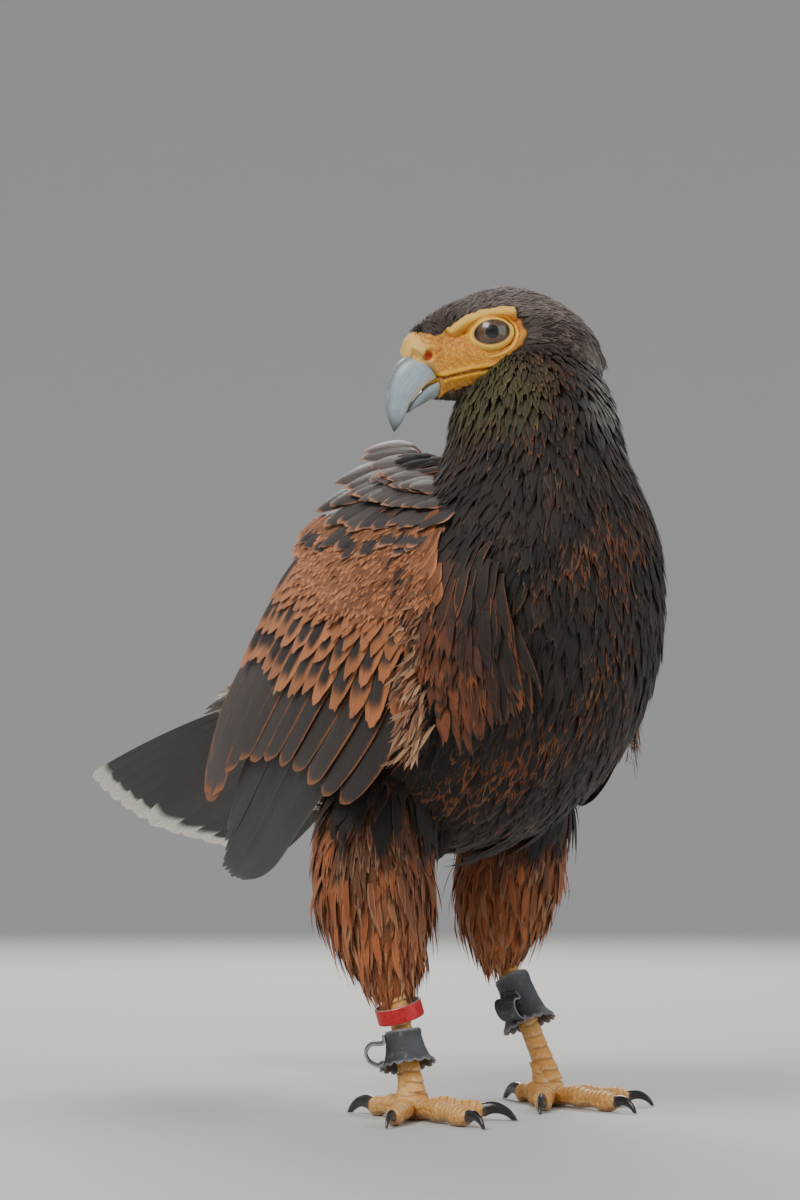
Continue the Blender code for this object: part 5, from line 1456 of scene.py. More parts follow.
def build_tail():
    """Twelve tail feathers, nine upper coverts, three layers of white coverts and loose plumes below."""
    vanes, _ = fan(12, 0.006, TAIL_LENGTH, 0.0138, 0.0040, 44, cup=0.06, fray=0.004, sweep=0.55,
                       tip=0.62, root=0.30, roll=0.0)
    tints = tail_tints(vanes, 0.36, 0.935)
    tail = coat("tail_feathers", [(vanes, (tints, tints * 1.15, 0.05))], flight_plumage, 4)
    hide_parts("tail")
    upper, _ = fan(9, 0.000, 0.070, 0.0105, 0.0078, 14, cup=0.20, fray=0.05, sweep=0.7, tip=0.5)
    upper_tints = varied(np.tile(CREAM, (9, 1)), 0.08)
    under = []
    for end, height, half, reach in ((0.094, -0.0086, 0.0125, 1.0), (0.078, -0.0120, 0.0115, 1.15),
                                     (0.060, -0.0150, 0.0100, 1.25)):
        tract, _ = fan(8, 0.000, end, half, height, 14, reach, cup=-0.20, fray=0.10, sweep=0.9, tip=0.45)
        under.append(tract)
    tracts = [upper] + under
    white = [(upper_tints, upper_tints * 1.05, 0.1)]
    white += [(varied(np.tile(CREAM, (8, 1)), 0.06), CREAM * 1.08, 0.2) for _ in under]
    count = 90
    u, v = chance.uniform(-0.10, 0.62, count), chance.uniform(-1.0, 1.0, count)
    plumes = lay(vent, u, v, drooping(0.9, -0.35, 0.12, count),
                 chance.uniform(0.022, 0.034, count), chance.uniform(0.0032, 0.0050, count), -0.0030,
                 chance.uniform(0.0, 0.0035, count), 8, 5, cup=0.18, fray=0.18, sweep=1.0, tip=0.34,
                 bend=chance.normal(0, 0.06, count))
    tracts.append(plumes)
    white.append((varied(np.tile(CREAM, (count, 1)), 0.08), CREAM * 1.08, 0.2))
    coverts = coat("tail_coverts", list(zip(tracts, white)), soft_plumage)


build_tail()

# %% [markdown]
# The eye is what a viewer meets first. The real one is a ball with a brown iris under a clear
# cornea, held by a fleshy lid ring and a second, wrinkled ring around it. The ball carries its
# own flat map in millimetres from the pupil's middle, and the iris is painted by the radius.

# %% Eyes
def iris_finish():
    """Pupil, iris fibres and dark rim by the radius in mm, under a clear coat."""
    finish, tree, ball = new_finish("hawk eye")
    place = wire(tree, "ShaderNodeUVMap", uv_map="Iris").outputs["UV"]
    split = wire(tree, "ShaderNodeSeparateXYZ", {"Vector": place}).outputs
    x, y = [calc(tree, "MULTIPLY_ADD", split[axis], 20.0, -10.0) for axis in "XY"]
    radius = calc(tree, "SQRT", calc(tree, "ADD", times(tree, x, x), times(tree, y, y)))
    angle = calc(tree, "ARCTAN2", y, x)
    around = spot(tree, calc(tree, "COSINE", angle), calc(tree, "SINE", angle), times(tree, radius, 0.10))
    fibre, cloud = noise(tree, 9.0, 4.0, 0.7, around), noise(tree, 2.0, at=around)
    colour = blend(tree, ramp(tree, fibre, 0.34, 0.66), (0.030, 0.012, 0.0045), (0.125, 0.058, 0.022))
    colour = layers(tree, colour, (ramp(tree, cloud, 0.45, 0.70, 0.0, 0.5), (0.155, 0.085, 0.040)),
                    (times(tree, ramp(tree, radius, 3.0, 4.4, 1.0, 0.0), 0.45), (0.17, 0.090, 0.040)),
                    (ramp(tree, radius, 5.6, 7.0), (0.008, 0.005, 0.004)),
                    (ramp(tree, radius, 2.85, 3.1, 1.0, 0.0), (0.002, 0.002, 0.0025)))
    fill(tree, ball, {"Base Color": colour, "Roughness": 0.30, "Coat Weight": 1.0,
                      "Coat Roughness": 0.02, "Coat IOR": 1.40})
    return finish


def build_eye(side, name, finish):
    """A ball in rings round the pupil's axis: radius * (sine, cosine) of the ring's angle, with
    the cornea's bulge of 0.3 mm * bell of the distance from the axis."""
    frame_axes = eye_axes(side)
    phi, theta = np.meshgrid(np.linspace(0.01, np.pi - 0.01, 44), turns(64), indexing="ij")
    flat = EYE_RADIUS * np.sin(phi)
    bulge = 0.00030 * bell(flat, 0.0060) * (phi < np.pi / 2)
    local = np.stack([flat * np.cos(theta), flat * np.sin(theta), EYE_RADIUS * np.cos(phi) + bulge], -1)
    rings = in_head(local @ frame_axes + (EYE_AT[0], side * EYE_AT[1], EYE_AT[2]))
    uv = np.stack([flat * np.cos(theta), flat * np.sin(theta)], -1) * 1000 / 20 + 0.5
    rows, around = rings.shape[:2]
    eye = add_piece(name, rings, quads(rows, around, True), finish, {"Iris": uv})
    face_outwards(eye, True)
    return eye


hawk_eye = iris_finish()
for side, name in ((1, "left"), (-1, "right")):
    eye = build_eye(side, "eyeball_" + name, hawk_eye)
    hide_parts("eye_" + name)
print("eyeball radius in mm", EYE_RADIUS * 1000)

# %% Lids
LID_HALF = (0.0077, 0.0054)


def lid_finish():
    """Bright yellow folds with painted highlight, orange creases with painted shade, fine wrinkles across.
    """
    finish, tree, skin = new_finish("hawk lid")
    mottle = noise(tree, 380.0, 3.0)
    colour = blend(tree, ramp(tree, mottle, 0.3, 0.7), (0.80, 0.33, 0.018), (0.92, 0.52, 0.035))
    # Painted highlight: the raised rolls turn paler by their height. Painted shade: the creases turn dark
    # orange.
    colour = layers(tree, colour, (mask(tree, "height", 0.75), (0.95, 0.66, 0.13)),
                    (mask(tree, "crease"), (0.36, 0.09, 0.008)),
                    (mask(tree, "outer", 0.9), (0.72, 0.255, 0.012)),
                    (mask(tree, "margin", 0.9), (0.16, 0.055, 0.012)))
    relief = bump(tree, pebbled(tree, 2600.0)["Pebble"], 0.35, 0.0002)
    fill(tree, skin, {"Base Color": colour, "Normal": relief, "Roughness": 0.34, "Subsurface Weight": 0.2,
                      "Subsurface Radius": (0.003, 0.0012, 0.0004), "Subsurface Scale": 0.4})
    return finish


hawk_lid = lid_finish()
print("lid finish", hawk_lid.name)

# %% Lids round the eyes
def build_lids(side, name, finish):
    """Rings from the lid's margin out to the face: the eye's height blended into the face's, plus
    bells for the lid's roll and, behind the eye, a second ring with a crease between them. The
    lid never dips under the ball."""
    axes = eye_axes(side)
    centre = np.array([EYE_AT[0], side * EYE_AT[1], EYE_AT[2]])
    local = to_head(face_points).reshape(-1, 3)
    oval = np.linalg.norm((local[:, [0, 2]] - centre[[0, 2]]) / (0.0094, 0.0072), axis=-1)
    seen = (local[oval > 1.10] - centre) @ axes.T
    seen = seen[(seen[:, 2] > -0.004) & (np.hypot(seen[:, 0], seen[:, 1]) < 0.02)]
    theta = turns(120)
    d = np.r_[-0.0009, np.linspace(-0.0004, 0.0046, 30)]
    corner = np.abs(np.cos(theta)) ** 6
    rear = ease(-np.cos(theta), -0.45, 0.35)
    below = np.clip(-np.sin(theta), 0, 1)
    above = np.clip(np.sin(theta), 0, 1)
    width = 0.92 + 0.42 * below - 0.42 * above ** 1.3
    rim = np.stack([LID_HALF[0] * np.cos(theta) * (1 + 0.02 * corner),
                    LID_HALF[1] * np.sin(theta) - 0.0006 * np.cos(theta)], -1)
    away = unit(np.stack([np.cos(theta), np.sin(theta)], -1) / LID_HALF)
    spread_out = np.where(d > 0, d, d * 0.8)[:, None] * np.where(d[:, None] > 0, width, 1.0)
    flat = rim + spread_out[..., None] * away
    far = np.linalg.norm(flat, axis=-1)
    ball = np.sqrt(np.maximum(EYE_RADIUS**2 - far**2, 0.0042**2)) + 0.0002
    gap = ((flat[:, :, None] - seen[None, None, :, :2]) ** 2).sum(-1)
    close = np.argpartition(gap, 6, axis=-1)[..., :6]
    weight = 1 / (np.take_along_axis(gap, close, -1) + 1e-8)
    face = (seen[close, 2] * weight).sum(-1) / weight.sum(-1)
    join = ease(d, 0.0018, 0.0042)[:, None]
    lid = bell(d - 0.0011, 0.00100)[:, None]
    second = bell(d - 0.0032, 0.00060)[:, None] * rear * (1 - 0.9 * above)
    # The crease also darkens the lid's colour there, as painted shade.
    crease = bell(d - 0.0022, 0.00034)[:, None] * (0.2 + 0.8 * rear)
    wrinkle = np.sin(theta * 46 + 2.2 * np.sin(theta * 5)) * 0.00006
    level = (ball * (1 - join) + face * join + 0.0012 * lid * (1 - 0.6 * above) + 0.0008 * second
             - 0.0004 * crease + wrinkle * (second + 0.3 * lid) + 0.00012 * join)
    globe = np.sqrt(np.maximum(EYE_RADIUS**2 - far**2, 0)) + 0.0004
    level = np.where((far < EYE_RADIUS) & (d[:, None] > 0.0004), np.maximum(level, globe), level)
    level = level - 0.0016 * ease(d, 0.0039, 0.0046)[:, None]
    level[0] = ball[0] - 0.0012
    local = np.concatenate([flat, level[..., None]], -1) @ axes + centre
    rows, around = level.shape
    ones = np.ones(around)
    # height paints the rolls paler as a painted highlight, crease paints the creases darker as painted
    # shade.
    values = {"height": np.clip(lid * ones + 0.7 * second, 0, 1).ravel(),
              "crease": np.clip(crease * 1.1, 0, 1).ravel(),
              "margin": ((1 - ease(d, -0.0003, 0.0003))[:, None] * ones).ravel(),
              "outer": np.clip(ease(d, 0.0024, 0.0040)[:, None] * ones - 0.8 * second, 0, 1).ravel()}
    piece = add_piece("lids_" + name, in_head(local), quads(rows, around, True), finish, None, values)
    outwards = in_head(axes[2]) - HEAD_CENTRE
    normals = np.array([p.normal[:] for p in list(piece.data.polygons)[:2000:40]])
    if (normals @ outwards).mean() < 0:
        piece.data.flip_normals()
    return piece


for side, name in ((1, "left"), (-1, "right")):
    build_lids(side, name, hawk_lid)
print("eye opening in mm", np.array(LID_HALF) * 2000)

# %% [markdown]
# The bill is one hooked horn over another. Its outline was measured as pairs of points, ridge and
# cutting edge, from the cere to the tip. Each ring is an arch between such a pair, hollow below,
# so the cutting edge is sharp. Growth lines run round it, streaks run along it.

# %% Bill
UPPER_BILL = np.array([
    (0.0408, -0.0062, 0.0326, -0.0174, 0.0086), (0.0446, -0.0080, 0.0346, -0.0186, 0.0082),
    (0.0480, -0.0112, 0.0378, -0.0208, 0.0074), (0.0508, -0.0160, 0.0411, -0.0238, 0.0063),
    (0.0526, -0.0215, 0.0435, -0.0270, 0.0051), (0.0532, -0.0270, 0.0450, -0.0308, 0.0040),
    (0.0527, -0.0325, 0.0464, -0.0346, 0.0028), (0.0516, -0.0365, 0.0482, -0.0375, 0.0016),
    (0.0502, -0.0396, 0.0499, -0.0397, 0.0003)])
LOWER_BILL = np.array([
    (0.0312, -0.0190, 0.0308, -0.0250, 0.0074), (0.0340, -0.0198, 0.0340, -0.0262, 0.0066),
    (0.0374, -0.0219, 0.0375, -0.0282, 0.0056), (0.0402, -0.0247, 0.0408, -0.0300, 0.0044),
    (0.0423, -0.0278, 0.0432, -0.0314, 0.0028), (0.0440, -0.0314, 0.0443, -0.0320, 0.0004)])


def horn_finish(title, base, ridge, edge, tip):
    """Base colour shading to the ridge, the cutting edge and the tip, with growth lines."""
    finish, tree, horn = new_finish(title)
    along, up = mask(tree, "along"), mask(tree, "rise")
    cloud = noise(tree, 260.0, 4.0, 0.6)
    streak = spot(tree, times(tree, along, 3.0), times(tree, up, 26.0), 0.3)
    lines = noise(tree, 1.6, 4.0, at=streak)
    growth = noise(tree, 1.0, 3.0, at=spot(tree, times(tree, along, 34.0), times(tree, up, 1.5), 2.0))
    cut = times(tree, ramp(tree, up, -0.55, -0.95), ramp(tree, along, 0.75, 0.45))
    colour = blend(tree, ramp(tree, up, 0.45, 1.0), base, ridge)
    colour = layers(tree, colour, (ramp(tree, cloud, 0.35, 0.75, 0.0, 0.35), (0.62, 0.68, 0.72)),
                    (ramp(tree, along, 0.62, 1.0), tip), (cut, edge))
    colour = shaded(tree, colour, ramp(tree, lines, 0.3, 0.7, 0.80, 1.16))
    height = calc(tree, "ADD", growth, times(tree, lines, 0.6))
    fill(tree, horn, {"Base Color": colour, "Normal": bump(tree, height, 0.30, 0.00025),
                      "Roughness": ramp(tree, cloud, 0.3, 0.7, 0.26, 0.44), "Coat Weight": 0.25,
                      "Coat Roughness": 0.2})
    return finish


print("bill stations", len(UPPER_BILL), len(LOWER_BILL))

# %% The bill's surfaces
def horn_section(around=48):
    """One ring seen from the front, as heights from 1 at the ridge to -1 at the cutting edge and
    widths from 0 to 1. The wall takes 0.76 of each side, by a sine, and the rest is the hollow
    underside, so that the cutting edge is a crisp corner."""
    turn = np.arange(around) / around * 2
    p = np.minimum(turn, 2 - turn)
    side = np.where(turn <= 1, 1.0, -1.0)
    wall = np.clip(p / 0.76, 0, 1)
    wide = np.sin(np.pi / 2 * np.clip(wall * 1.25, 0, 1)) ** 0.85 * (1 - 0.10 * ease(wall, 0.75, 1.0))
    rise = np.cos(np.pi * wall ** 1.12)
    inside = np.clip((p - 0.76) / 0.24, 0, 1)
    wide = np.where(p > 0.76, 0.90 * (1 - inside), wide)
    rise = np.where(p > 0.76, -1 + 0.22 * np.sin(np.pi / 2 * inside), rise)
    return rise, wide * side


def bill_rings(pairs, keel=False, rows=56, notch=0.0):
    """middle + reach * rise + aside * half width * width of the section. The lower bill's section
    is upside down, with its ridge as a keel below. The festoon is a bell along the cutting edge."""
    t = np.linspace(0, 1, rows)
    line = through(pairs, t)
    ridge, edge, half = line[:, 0:2], line[:, 2:4], np.maximum(line[:, 4], 0.00025)
    if keel:
        ridge, edge = edge, ridge
    rise, wide = horn_section()
    middle, reach = (ridge + edge) / 2, (ridge - edge) / 2
    wave = np.clip(-rise, 0, 1)[None] ** 3 * (notch * bell(t - 0.40, 0.10) * 0.0010)[:, None]
    side_view = (middle[:, None] + reach[:, None] * rise[None, :, None]
                 - unit(reach)[:, None] * wave[..., None])
    points = np.stack([side_view[..., 0], half[:, None] * wide[None], side_view[..., 1]], -1)
    return in_head(points), {"along": t[:, None], "rise": rise}


upper_horn = horn_finish("upper bill horn", (0.33, 0.41, 0.47), (0.185, 0.225, 0.26), (0.58, 0.55, 0.40),
                         (0.060, 0.066, 0.074))
lower_horn = horn_finish("lower bill horn", (0.36, 0.44, 0.49), (0.40, 0.46, 0.45), (0.38, 0.45, 0.50),
                         (0.17, 0.20, 0.22))
for name, pairs, finish, keel, notch in (("upper_bill", UPPER_BILL, upper_horn, False, 1.0),
                                         ("lower_bill", LOWER_BILL, lower_horn, True, 0.0)):
    rings, values = bill_rings(pairs, keel, notch=notch)
    horn = add_tube("fine_" + name, rings, finish, values)
    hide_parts(name)
    print(name, "length in mm", (np.linalg.norm(rings[-1].mean(0) - rings[0].mean(0)) * 1000).round(1))

# %% [markdown]
# Short bristles are the last touch on the face: black ones at the forehead's edge, fine pale ones
# over the lore and along the jaw. Each is a feather cut down to a thin bent spine.

# %% Bristles of the face
def bristles():
    """Tracts of thin spines at the forehead's edge, on the lores and on the jaw, on both sides."""
    laid = []
    beds = (("forehead", 60, (0.92, 0.965), (0.0, 0.11), (-0.35, 1.0), 0.0036, 0.00013, SOOT * 1.2),
            ("lore", 90, (0.72, 0.93), (0.12, 0.27), (0.9, 0.5), 0.0020, 0.00006, UMBER * 1.5),
            ("jaw", 90, (0.60, 0.84), (0.33, 0.42), (-0.7, -0.6), 0.0020, 0.00007, SAND))
    for _, count, u_span, v_span, (ahead_share, up_share), length, half, tint in beds:
        for side in (1, -1):
            u = chance.uniform(*u_span, count)
            v = (side * chance.uniform(*v_span, count)) % 1
            ahead, left, up = head_axes()
            ways = ahead * ahead_share + up * up_share + left * side * 0.2
            ways = unit(ways + 0.35 * chance.normal(size=(count, 3)))
            tract = lay(head, u, v, ways, length * chance.uniform(0.6, 1.2, count), half, -0.0004,
                        0.0016 * chance.uniform(0.4, 1.0, count), 5, 2, cup=0.0, fray=0.0, tip=0.15,
                        root=1.0, bend=chance.normal(0, 0.10, count))
            laid.append((tract, (varied(np.tile(tint, (count, 1)), 0.3), tint, 0.1)))
    piece = coat("face_bristles", laid, soft_plumage)


bristles()

# %% [markdown]
# Bare legs are covered with horny plates: broad overlapping scutes down the front of the shank and
# over each toe, small pebbles at the sides, and soft pads below. The scutes are in the mesh as a
# saw of small steps, because they break the outline; the pebbles are bump.

# %% Leg finish
def leg_finish():
    """Yellow-orange skin, paler on each scute's face, flaky white at its edge, dark in the joints."""
    finish, tree, skin = new_finish("scaled leg")
    pebble = pebbled(tree, 620.0, 0.25)["Pebble"]
    flake, stain = noise(tree, 520.0, 5.0, 0.7), noise(tree, 95.0, 3.0)
    white = times(tree, ramp(tree, flake, 0.46, 0.62),
                  calc(tree, "MULTIPLY_ADD", mask(tree, "scute"), 0.60, 0.10))
    grain = times(tree, calc(tree, "SUBTRACT", 1.0, pebble),
                  calc(tree, "SUBTRACT", 0.62, mask(tree, "front", 0.55)))
    colour = blend(tree, ramp(tree, stain, 0.35, 0.65), (0.74, 0.33, 0.055), (0.82, 0.47, 0.14))
    colour = layers(tree, colour, (white, (0.86, 0.74, 0.54)),
                    (mask(tree, "joint", 0.75), (0.30, 0.14, 0.05)),
                    (grain, (0.42, 0.20, 0.07)), (mask(tree, "below", 0.55), (0.34, 0.24, 0.15)))
    height = calc(tree, "MULTIPLY_ADD", pebble, calc(tree, "SUBTRACT", 1.0, mask(tree, "front")),
                  times(tree, flake, 0.7))
    fill(tree, skin, {"Base Color": colour, "Normal": bump(tree, height, 0.6, 0.00045),
                      "Roughness": ramp(tree, flake, 0.3, 0.7, 0.42, 0.68), "Subsurface Weight": 0.12,
                      "Subsurface Radius": (0.003, 0.0014, 0.0006), "Subsurface Scale": 0.4})
    return finish


scaled_leg = leg_finish()


def saw(t, count):
    """Scute steps along t: rises to 1 over a scute's length, then drops. The joint is a thin bell
    just past each drop."""
    place = (t * count) % 1
    return place ** 0.7 * (1 - ease(place, 0.90, 1.0)), bell(np.minimum(place, 1 - place), 0.09)


print("leg finish", scaled_leg.name)

# %% Shanks
FOOT = {"right": (-0.0415, -0.0065), "left": (0.0470, 0.0135)}
HOCK = {"right": (-0.0405, 0.0150, 0.082), "left": (0.0360, 0.0440, 0.086)}
TARSUS_RADIUS, ANKLE_Z, TOE_Z = 0.0043, 0.0145, 0.0042
SHANK_SCUTES = 14


def shank_ends(side):
    """The middle of the hock, and the middle of the ankle above the sole."""
    return np.array(HOCK[side]), np.array([*FOOT[side], ANKLE_Z])


def shank_axes(side):
    """Rows: down the shank, its front, and its side way."""
    hock, sole = shank_ends(side)
    down = unit(sole - hock)
    aside = unit(np.cross(down, [0.0, -1.0, 0.0]))
    front = np.cross(aside, down)
    return np.array([down, front if front[1] < 0 else -front, aside])


def build_shank(side, rows=190, around=56):
    """Rings from the hock to the sole. Radius: tarsus radius, 0.18 wider at both ends, with the
    scutes' saw on the front and a shallow groove behind, where the tendons run."""
    hock, sole = shank_ends(side)
    _, front, aside = shank_axes(side)
    t = np.linspace(-0.02, 1.06, rows)
    angle = turns(around)
    bow = np.sin(np.pi * np.clip(t, 0, 1))[:, None] * np.array([0, 0.0006, 0])
    path = hock + (sole - hock) * t[:, None] + bow
    radius = TARSUS_RADIUS * (1 + 0.18 * np.clip(2 * t - 1, -1, 1) ** 4)
    facing = np.cos(angle)[None]
    crooked = t[:, None] + 0.010 * np.sin(angle * 2 + 5 * t[:, None])
    step, joint = saw(crooked, SHANK_SCUTES)
    plate = ease(facing, 0.10, 0.45)
    hind, hind_joint = saw(crooked + 0.03, 22)
    back_plate = ease(-facing, 0.55, 0.85)
    relief = 0.00042 * step * plate - 0.00022 * joint * plate + 0.0002 * hind * back_plate
    groove = -0.0005 * bell(np.abs(facing), 0.30) * ease(-facing + 0.2, 0, 0.4)
    spread_out = radius[:, None] + relief + groove
    rings = (path[:, None] + (facing * spread_out * 1.12)[..., None] * front
             + (np.sin(angle)[None] * spread_out * 0.94)[..., None] * aside)
    values = {"scute": ease(step, 0.5, 0.95) * plate,
              "joint": np.maximum(joint * plate, hind_joint * back_plate),
              "front": np.maximum(plate, back_plate), "below": 0.0}
    shank = add_tube("scaled_shank_" + side, rings, scaled_leg, values)
    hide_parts("shank_" + side)


for side in ("right", "left"):
    build_shank(side)
print("scutes down each shank", SHANK_SCUTES)

# %% Toes and palms
# Toe: heading outwards from straight ahead in degrees, length, radius, scutes, claw length and radius
TOES = {"middle": (4, 0.043, 0.0043, 15, 0.018, 0.0026), "inner": (-42, 0.029, 0.0044, 9, 0.021, 0.0030),
        "outer": (48, 0.034, 0.0040, 12, 0.016, 0.0024), "hind": (172, 0.022, 0.0044, 7, 0.024, 0.0032)}


def toe_form(start, heading, length, radius, scutes, rows=120, around=40):
    """Rings along the toe: radius * (1 + joints' swelling - taper), scutes' saw above, bulging
    pads below that flatten on the floor, and a rounded end under the claw's root."""
    t = np.linspace(0, 1, rows)
    way = np.array([math.cos(heading), math.sin(heading), 0.0])
    side = np.array([-way[1], way[0], 0.0])
    girth = radius * (1.0 + 0.10 * np.cos(2 * np.pi * t * 2.5) - 0.20 * t)
    girth = girth * np.sqrt(np.clip(1 - ease(t, 0.93, 1.0) * 0.72, 0.05, 1))
    path = start + way * (t * length)[:, None]
    path[:, 2] = TOE_Z + 0.0022 * np.sin(np.pi * t) * (1 - t)
    angle = turns(around)
    up = np.cos(angle)[None]
    top = ease(up, 0.15, 0.55)
    step, joint = saw(t[:, None] + 0 * up, scutes)
    pad = np.abs(np.sin(np.pi * t * 3.0))[:, None] * ease(-up, 0.2, 0.8)
    relief = 0.00045 * step * top - 0.00022 * joint * top + 0.0006 * pad
    spread_out = girth[:, None] + relief
    rings = (path[:, None] + (np.sin(angle)[None] * spread_out)[..., None] * side
             + (up * spread_out)[..., None] * np.array([0, 0, 1.0]))
    rings[..., 2] = np.maximum(rings[..., 2], 0.0)
    values = {"scute": ease(step, 0.5, 0.95) * top, "joint": joint * top, "front": top,
              "below": ease(-up, 0.3, 0.8)}
    return rings, values, way


print("toe lengths in mm", {toe: round(form[1] * 1000) for toe, form in TOES.items()})

# %% The palm and the whole foot
def palm_form(side, rows=46, around=56):
    """The palm as rings from the ankle down to the sole: it swells by a sine below the shank."""
    foot = np.array([*FOOT[side], 0.0])
    down = shank_axes(side)[0]
    t = np.linspace(0, 1, rows)
    angle = turns(around)
    height = 0.0190 * (1 - t) ** 1.15
    above = np.clip(height - 0.010, 0, None)
    centre = foot + height[:, None] * (0, 0, 1) + above[:, None] * (down / down[2]) * (1, 1, 0)
    wide = 0.0049 + 0.0036 * ease(t, 0.10, 0.70) - 0.0032 * ease(t, 0.80, 1.0) ** 2
    lobes = 1 + 0.10 * np.cos(4 * angle + 0.6)[None] * ease(t, 0.35, 0.9)[:, None]
    radius = wide[:, None] * lobes
    step, joint = saw(t[:, None] + 0.02 * np.sin(angle * 3)[None], 5)
    plate = ease(-np.sin(angle)[None], -0.1, 0.4) * (1 - ease(t, 0.7, 0.9))[:, None]
    radius = radius + 0.0003 * step * plate
    circle = np.stack([np.cos(angle), np.sin(angle), 0 * angle], -1)
    rings = centre[:, None] + radius[..., None] * circle[None]
    values = {"scute": ease(step, 0.5, 0.95) * plate, "joint": joint * plate, "front": plate,
              "below": ease(t, 0.85, 1.0)[:, None]}
    return rings, values


def build_foot(side, outward):
    """Four toes and the palm, closed one by one and joined as one piece."""
    shells = [palm_form(side)]
    tips = {}
    for toe, (turn, length, radius, scutes, _, _) in TOES.items():
        heading = math.radians(-90 + outward * turn)
        way = np.array([math.cos(heading), math.sin(heading), 0.0])
        rings, values, way = toe_form(np.array([*FOOT[side], 0.0]) + way * 0.003, heading, length, radius,
                                      scutes)
        shells.append((rings, values))
        tips[toe] = (rings[-1].mean(0), way)
    points, faces, marks, first = [], [], {}, 0
    for rings, values in shells:
        rings, values = capped(rings, values)
        rows, around = rings.shape[:2]
        points.append(rings.reshape(-1, 3))
        faces.append(quads(rows, around, True) + first)
        first += rows * around
        for key, value in values.items():
            marks.setdefault(key, []).append(value.ravel())
    foot = add_piece("scaled_foot_" + side, np.concatenate(points), np.concatenate(faces), scaled_leg,
                     None, {key: np.concatenate(value) for key, value in marks.items()})
    face_outwards(foot, True)
    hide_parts("foot_" + side)
    return tips


toe_tips = {"right": build_foot("right", -1), "left": build_foot("left", 1)}
print("toe tips", {k: v[0].round(3).tolist() for k, v in toe_tips["right"].items()})

# %% [markdown]
# A claw is horn too: black, glossy, grooved below, and grey-brown where it leaves the toe. Its
# line is an arc that starts slightly upwards and bends down by 112 degrees in all.

# %% Claws
def claw_finish():
    """Black horn with lengthwise streaks, grey-brown where it leaves the toe."""
    finish, tree, horn = new_finish("claw horn")
    along = mask(tree, "along")
    streak = noise(tree, 2.0, 4.0, at=spot(tree, times(tree, along, 2.5), mask(tree, "rise", 12.0), 1.0))
    colour = blend(tree, ramp(tree, streak, 0.35, 0.7), (0.006, 0.006, 0.007), (0.030, 0.028, 0.028))
    colour = blend(tree, ramp(tree, along, 0.16, 0.0, 0.0, 0.8), colour, (0.11, 0.085, 0.065))
    fill(tree, horn, {"Base Color": colour, "Normal": bump(tree, streak, 0.3, 0.0002),
                      "Roughness": ramp(tree, streak, 0.3, 0.7, 0.18, 0.34), "Coat Weight": 0.3})
    return finish


def build_claw(side, toe, finish, rows=44, around=26):
    """path: steps of equal length whose slope turns from +26 to -86 degrees. Girth: radius times
    (1 - t)^0.8, higher than wide, with a groove along the underside."""
    _, _, _, _, length, radius = TOES[toe]
    tip, way = toe_tips[side][toe]
    base = tip + way * 0.0003
    base[2] = max(base[2], radius * 1.15 + 0.0006)
    t = np.linspace(0, 1, rows)
    slope = 0.45 - math.radians(112) * t
    stride = length / (rows - 1)
    run = np.r_[0, np.cumsum(np.cos(slope[:-1]) * stride)]
    rise = np.r_[0, np.cumsum(np.sin(slope[:-1]) * stride)]
    aside = np.cross([0, 0, 1.0], way)
    path = base - way * 0.0016 + way * run[:, None] + np.array([0, 0, 1.0]) * rise[:, None]
    ahead = way * np.cos(slope)[:, None] + np.array([0, 0, 1.0]) * np.sin(slope)[:, None]
    lift = np.cross(ahead, aside)
    angle = turns(around)
    girth = radius * np.maximum((1 - t) ** 0.8, 0.05)
    up = np.cos(angle)[None]
    groove = 1 - 0.28 * bell(angle[None] - np.pi, 0.45)
    rings = (path[:, None] + (girth[:, None] * up * 1.15 * groove)[..., None] * lift[:, None]
             + (girth[:, None] * np.sin(angle)[None] * 0.8)[..., None] * aside)
    rings[..., 2] = np.maximum(rings[..., 2], 0.0004)
    claw = add_tube(f"fine_claw_{toe}_{side}", rings, finish, {"along": t[:, None], "rise": up})
    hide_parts(f"claw_{toe}_{side}")


black_horn = claw_finish()
for side in ("right", "left"):
    for toe in TOES:
        build_claw(side, toe, black_horn)
print("claws", 2 * len(TOES))

# %% [markdown]
# The hawk wears two leather anklets and a leg ring. An anklet is a strip of supple leather closed
# round the shank. It narrows at the top, flares below, and its lower hem is cut into small scallops.
# One end is folded back into a loop. The ring is anodised metal with a bare inner face.

# %% Leather and ring finishes
def leather_finish():
    """Dark blue-grey leather: fine grain, scuffs, pale worn edges."""
    finish, tree, hide = new_finish("anklet leather")
    pebble = pebbled(tree, 1900.0, 0.2)["Pebble"]
    scuff, broad = noise(tree, 210.0, 6.0, 0.72), noise(tree, 60.0)
    worn = times(tree, mask(tree, "edge"), ramp(tree, scuff, 0.30, 0.55, 0.3, 0.9))
    colour = blend(tree, ramp(tree, broad, 0.35, 0.65), (0.040, 0.043, 0.050), (0.085, 0.090, 0.102))
    colour = layers(tree, colour, (ramp(tree, scuff, 0.54, 0.72, 0.0, 0.6), (0.24, 0.25, 0.27)),
                    (worn, (0.30, 0.30, 0.30)), (mask(tree, "inside"), (0.060, 0.045, 0.035)))
    relief = bump(tree, calc(tree, "MULTIPLY_ADD", pebble, 0.6, scuff), 0.55, 0.0003)
    fill(tree, hide, {"Base Color": colour, "Normal": relief,
                      "Roughness": ramp(tree, scuff, 0.35, 0.7, 0.48, 0.75)})
    return finish


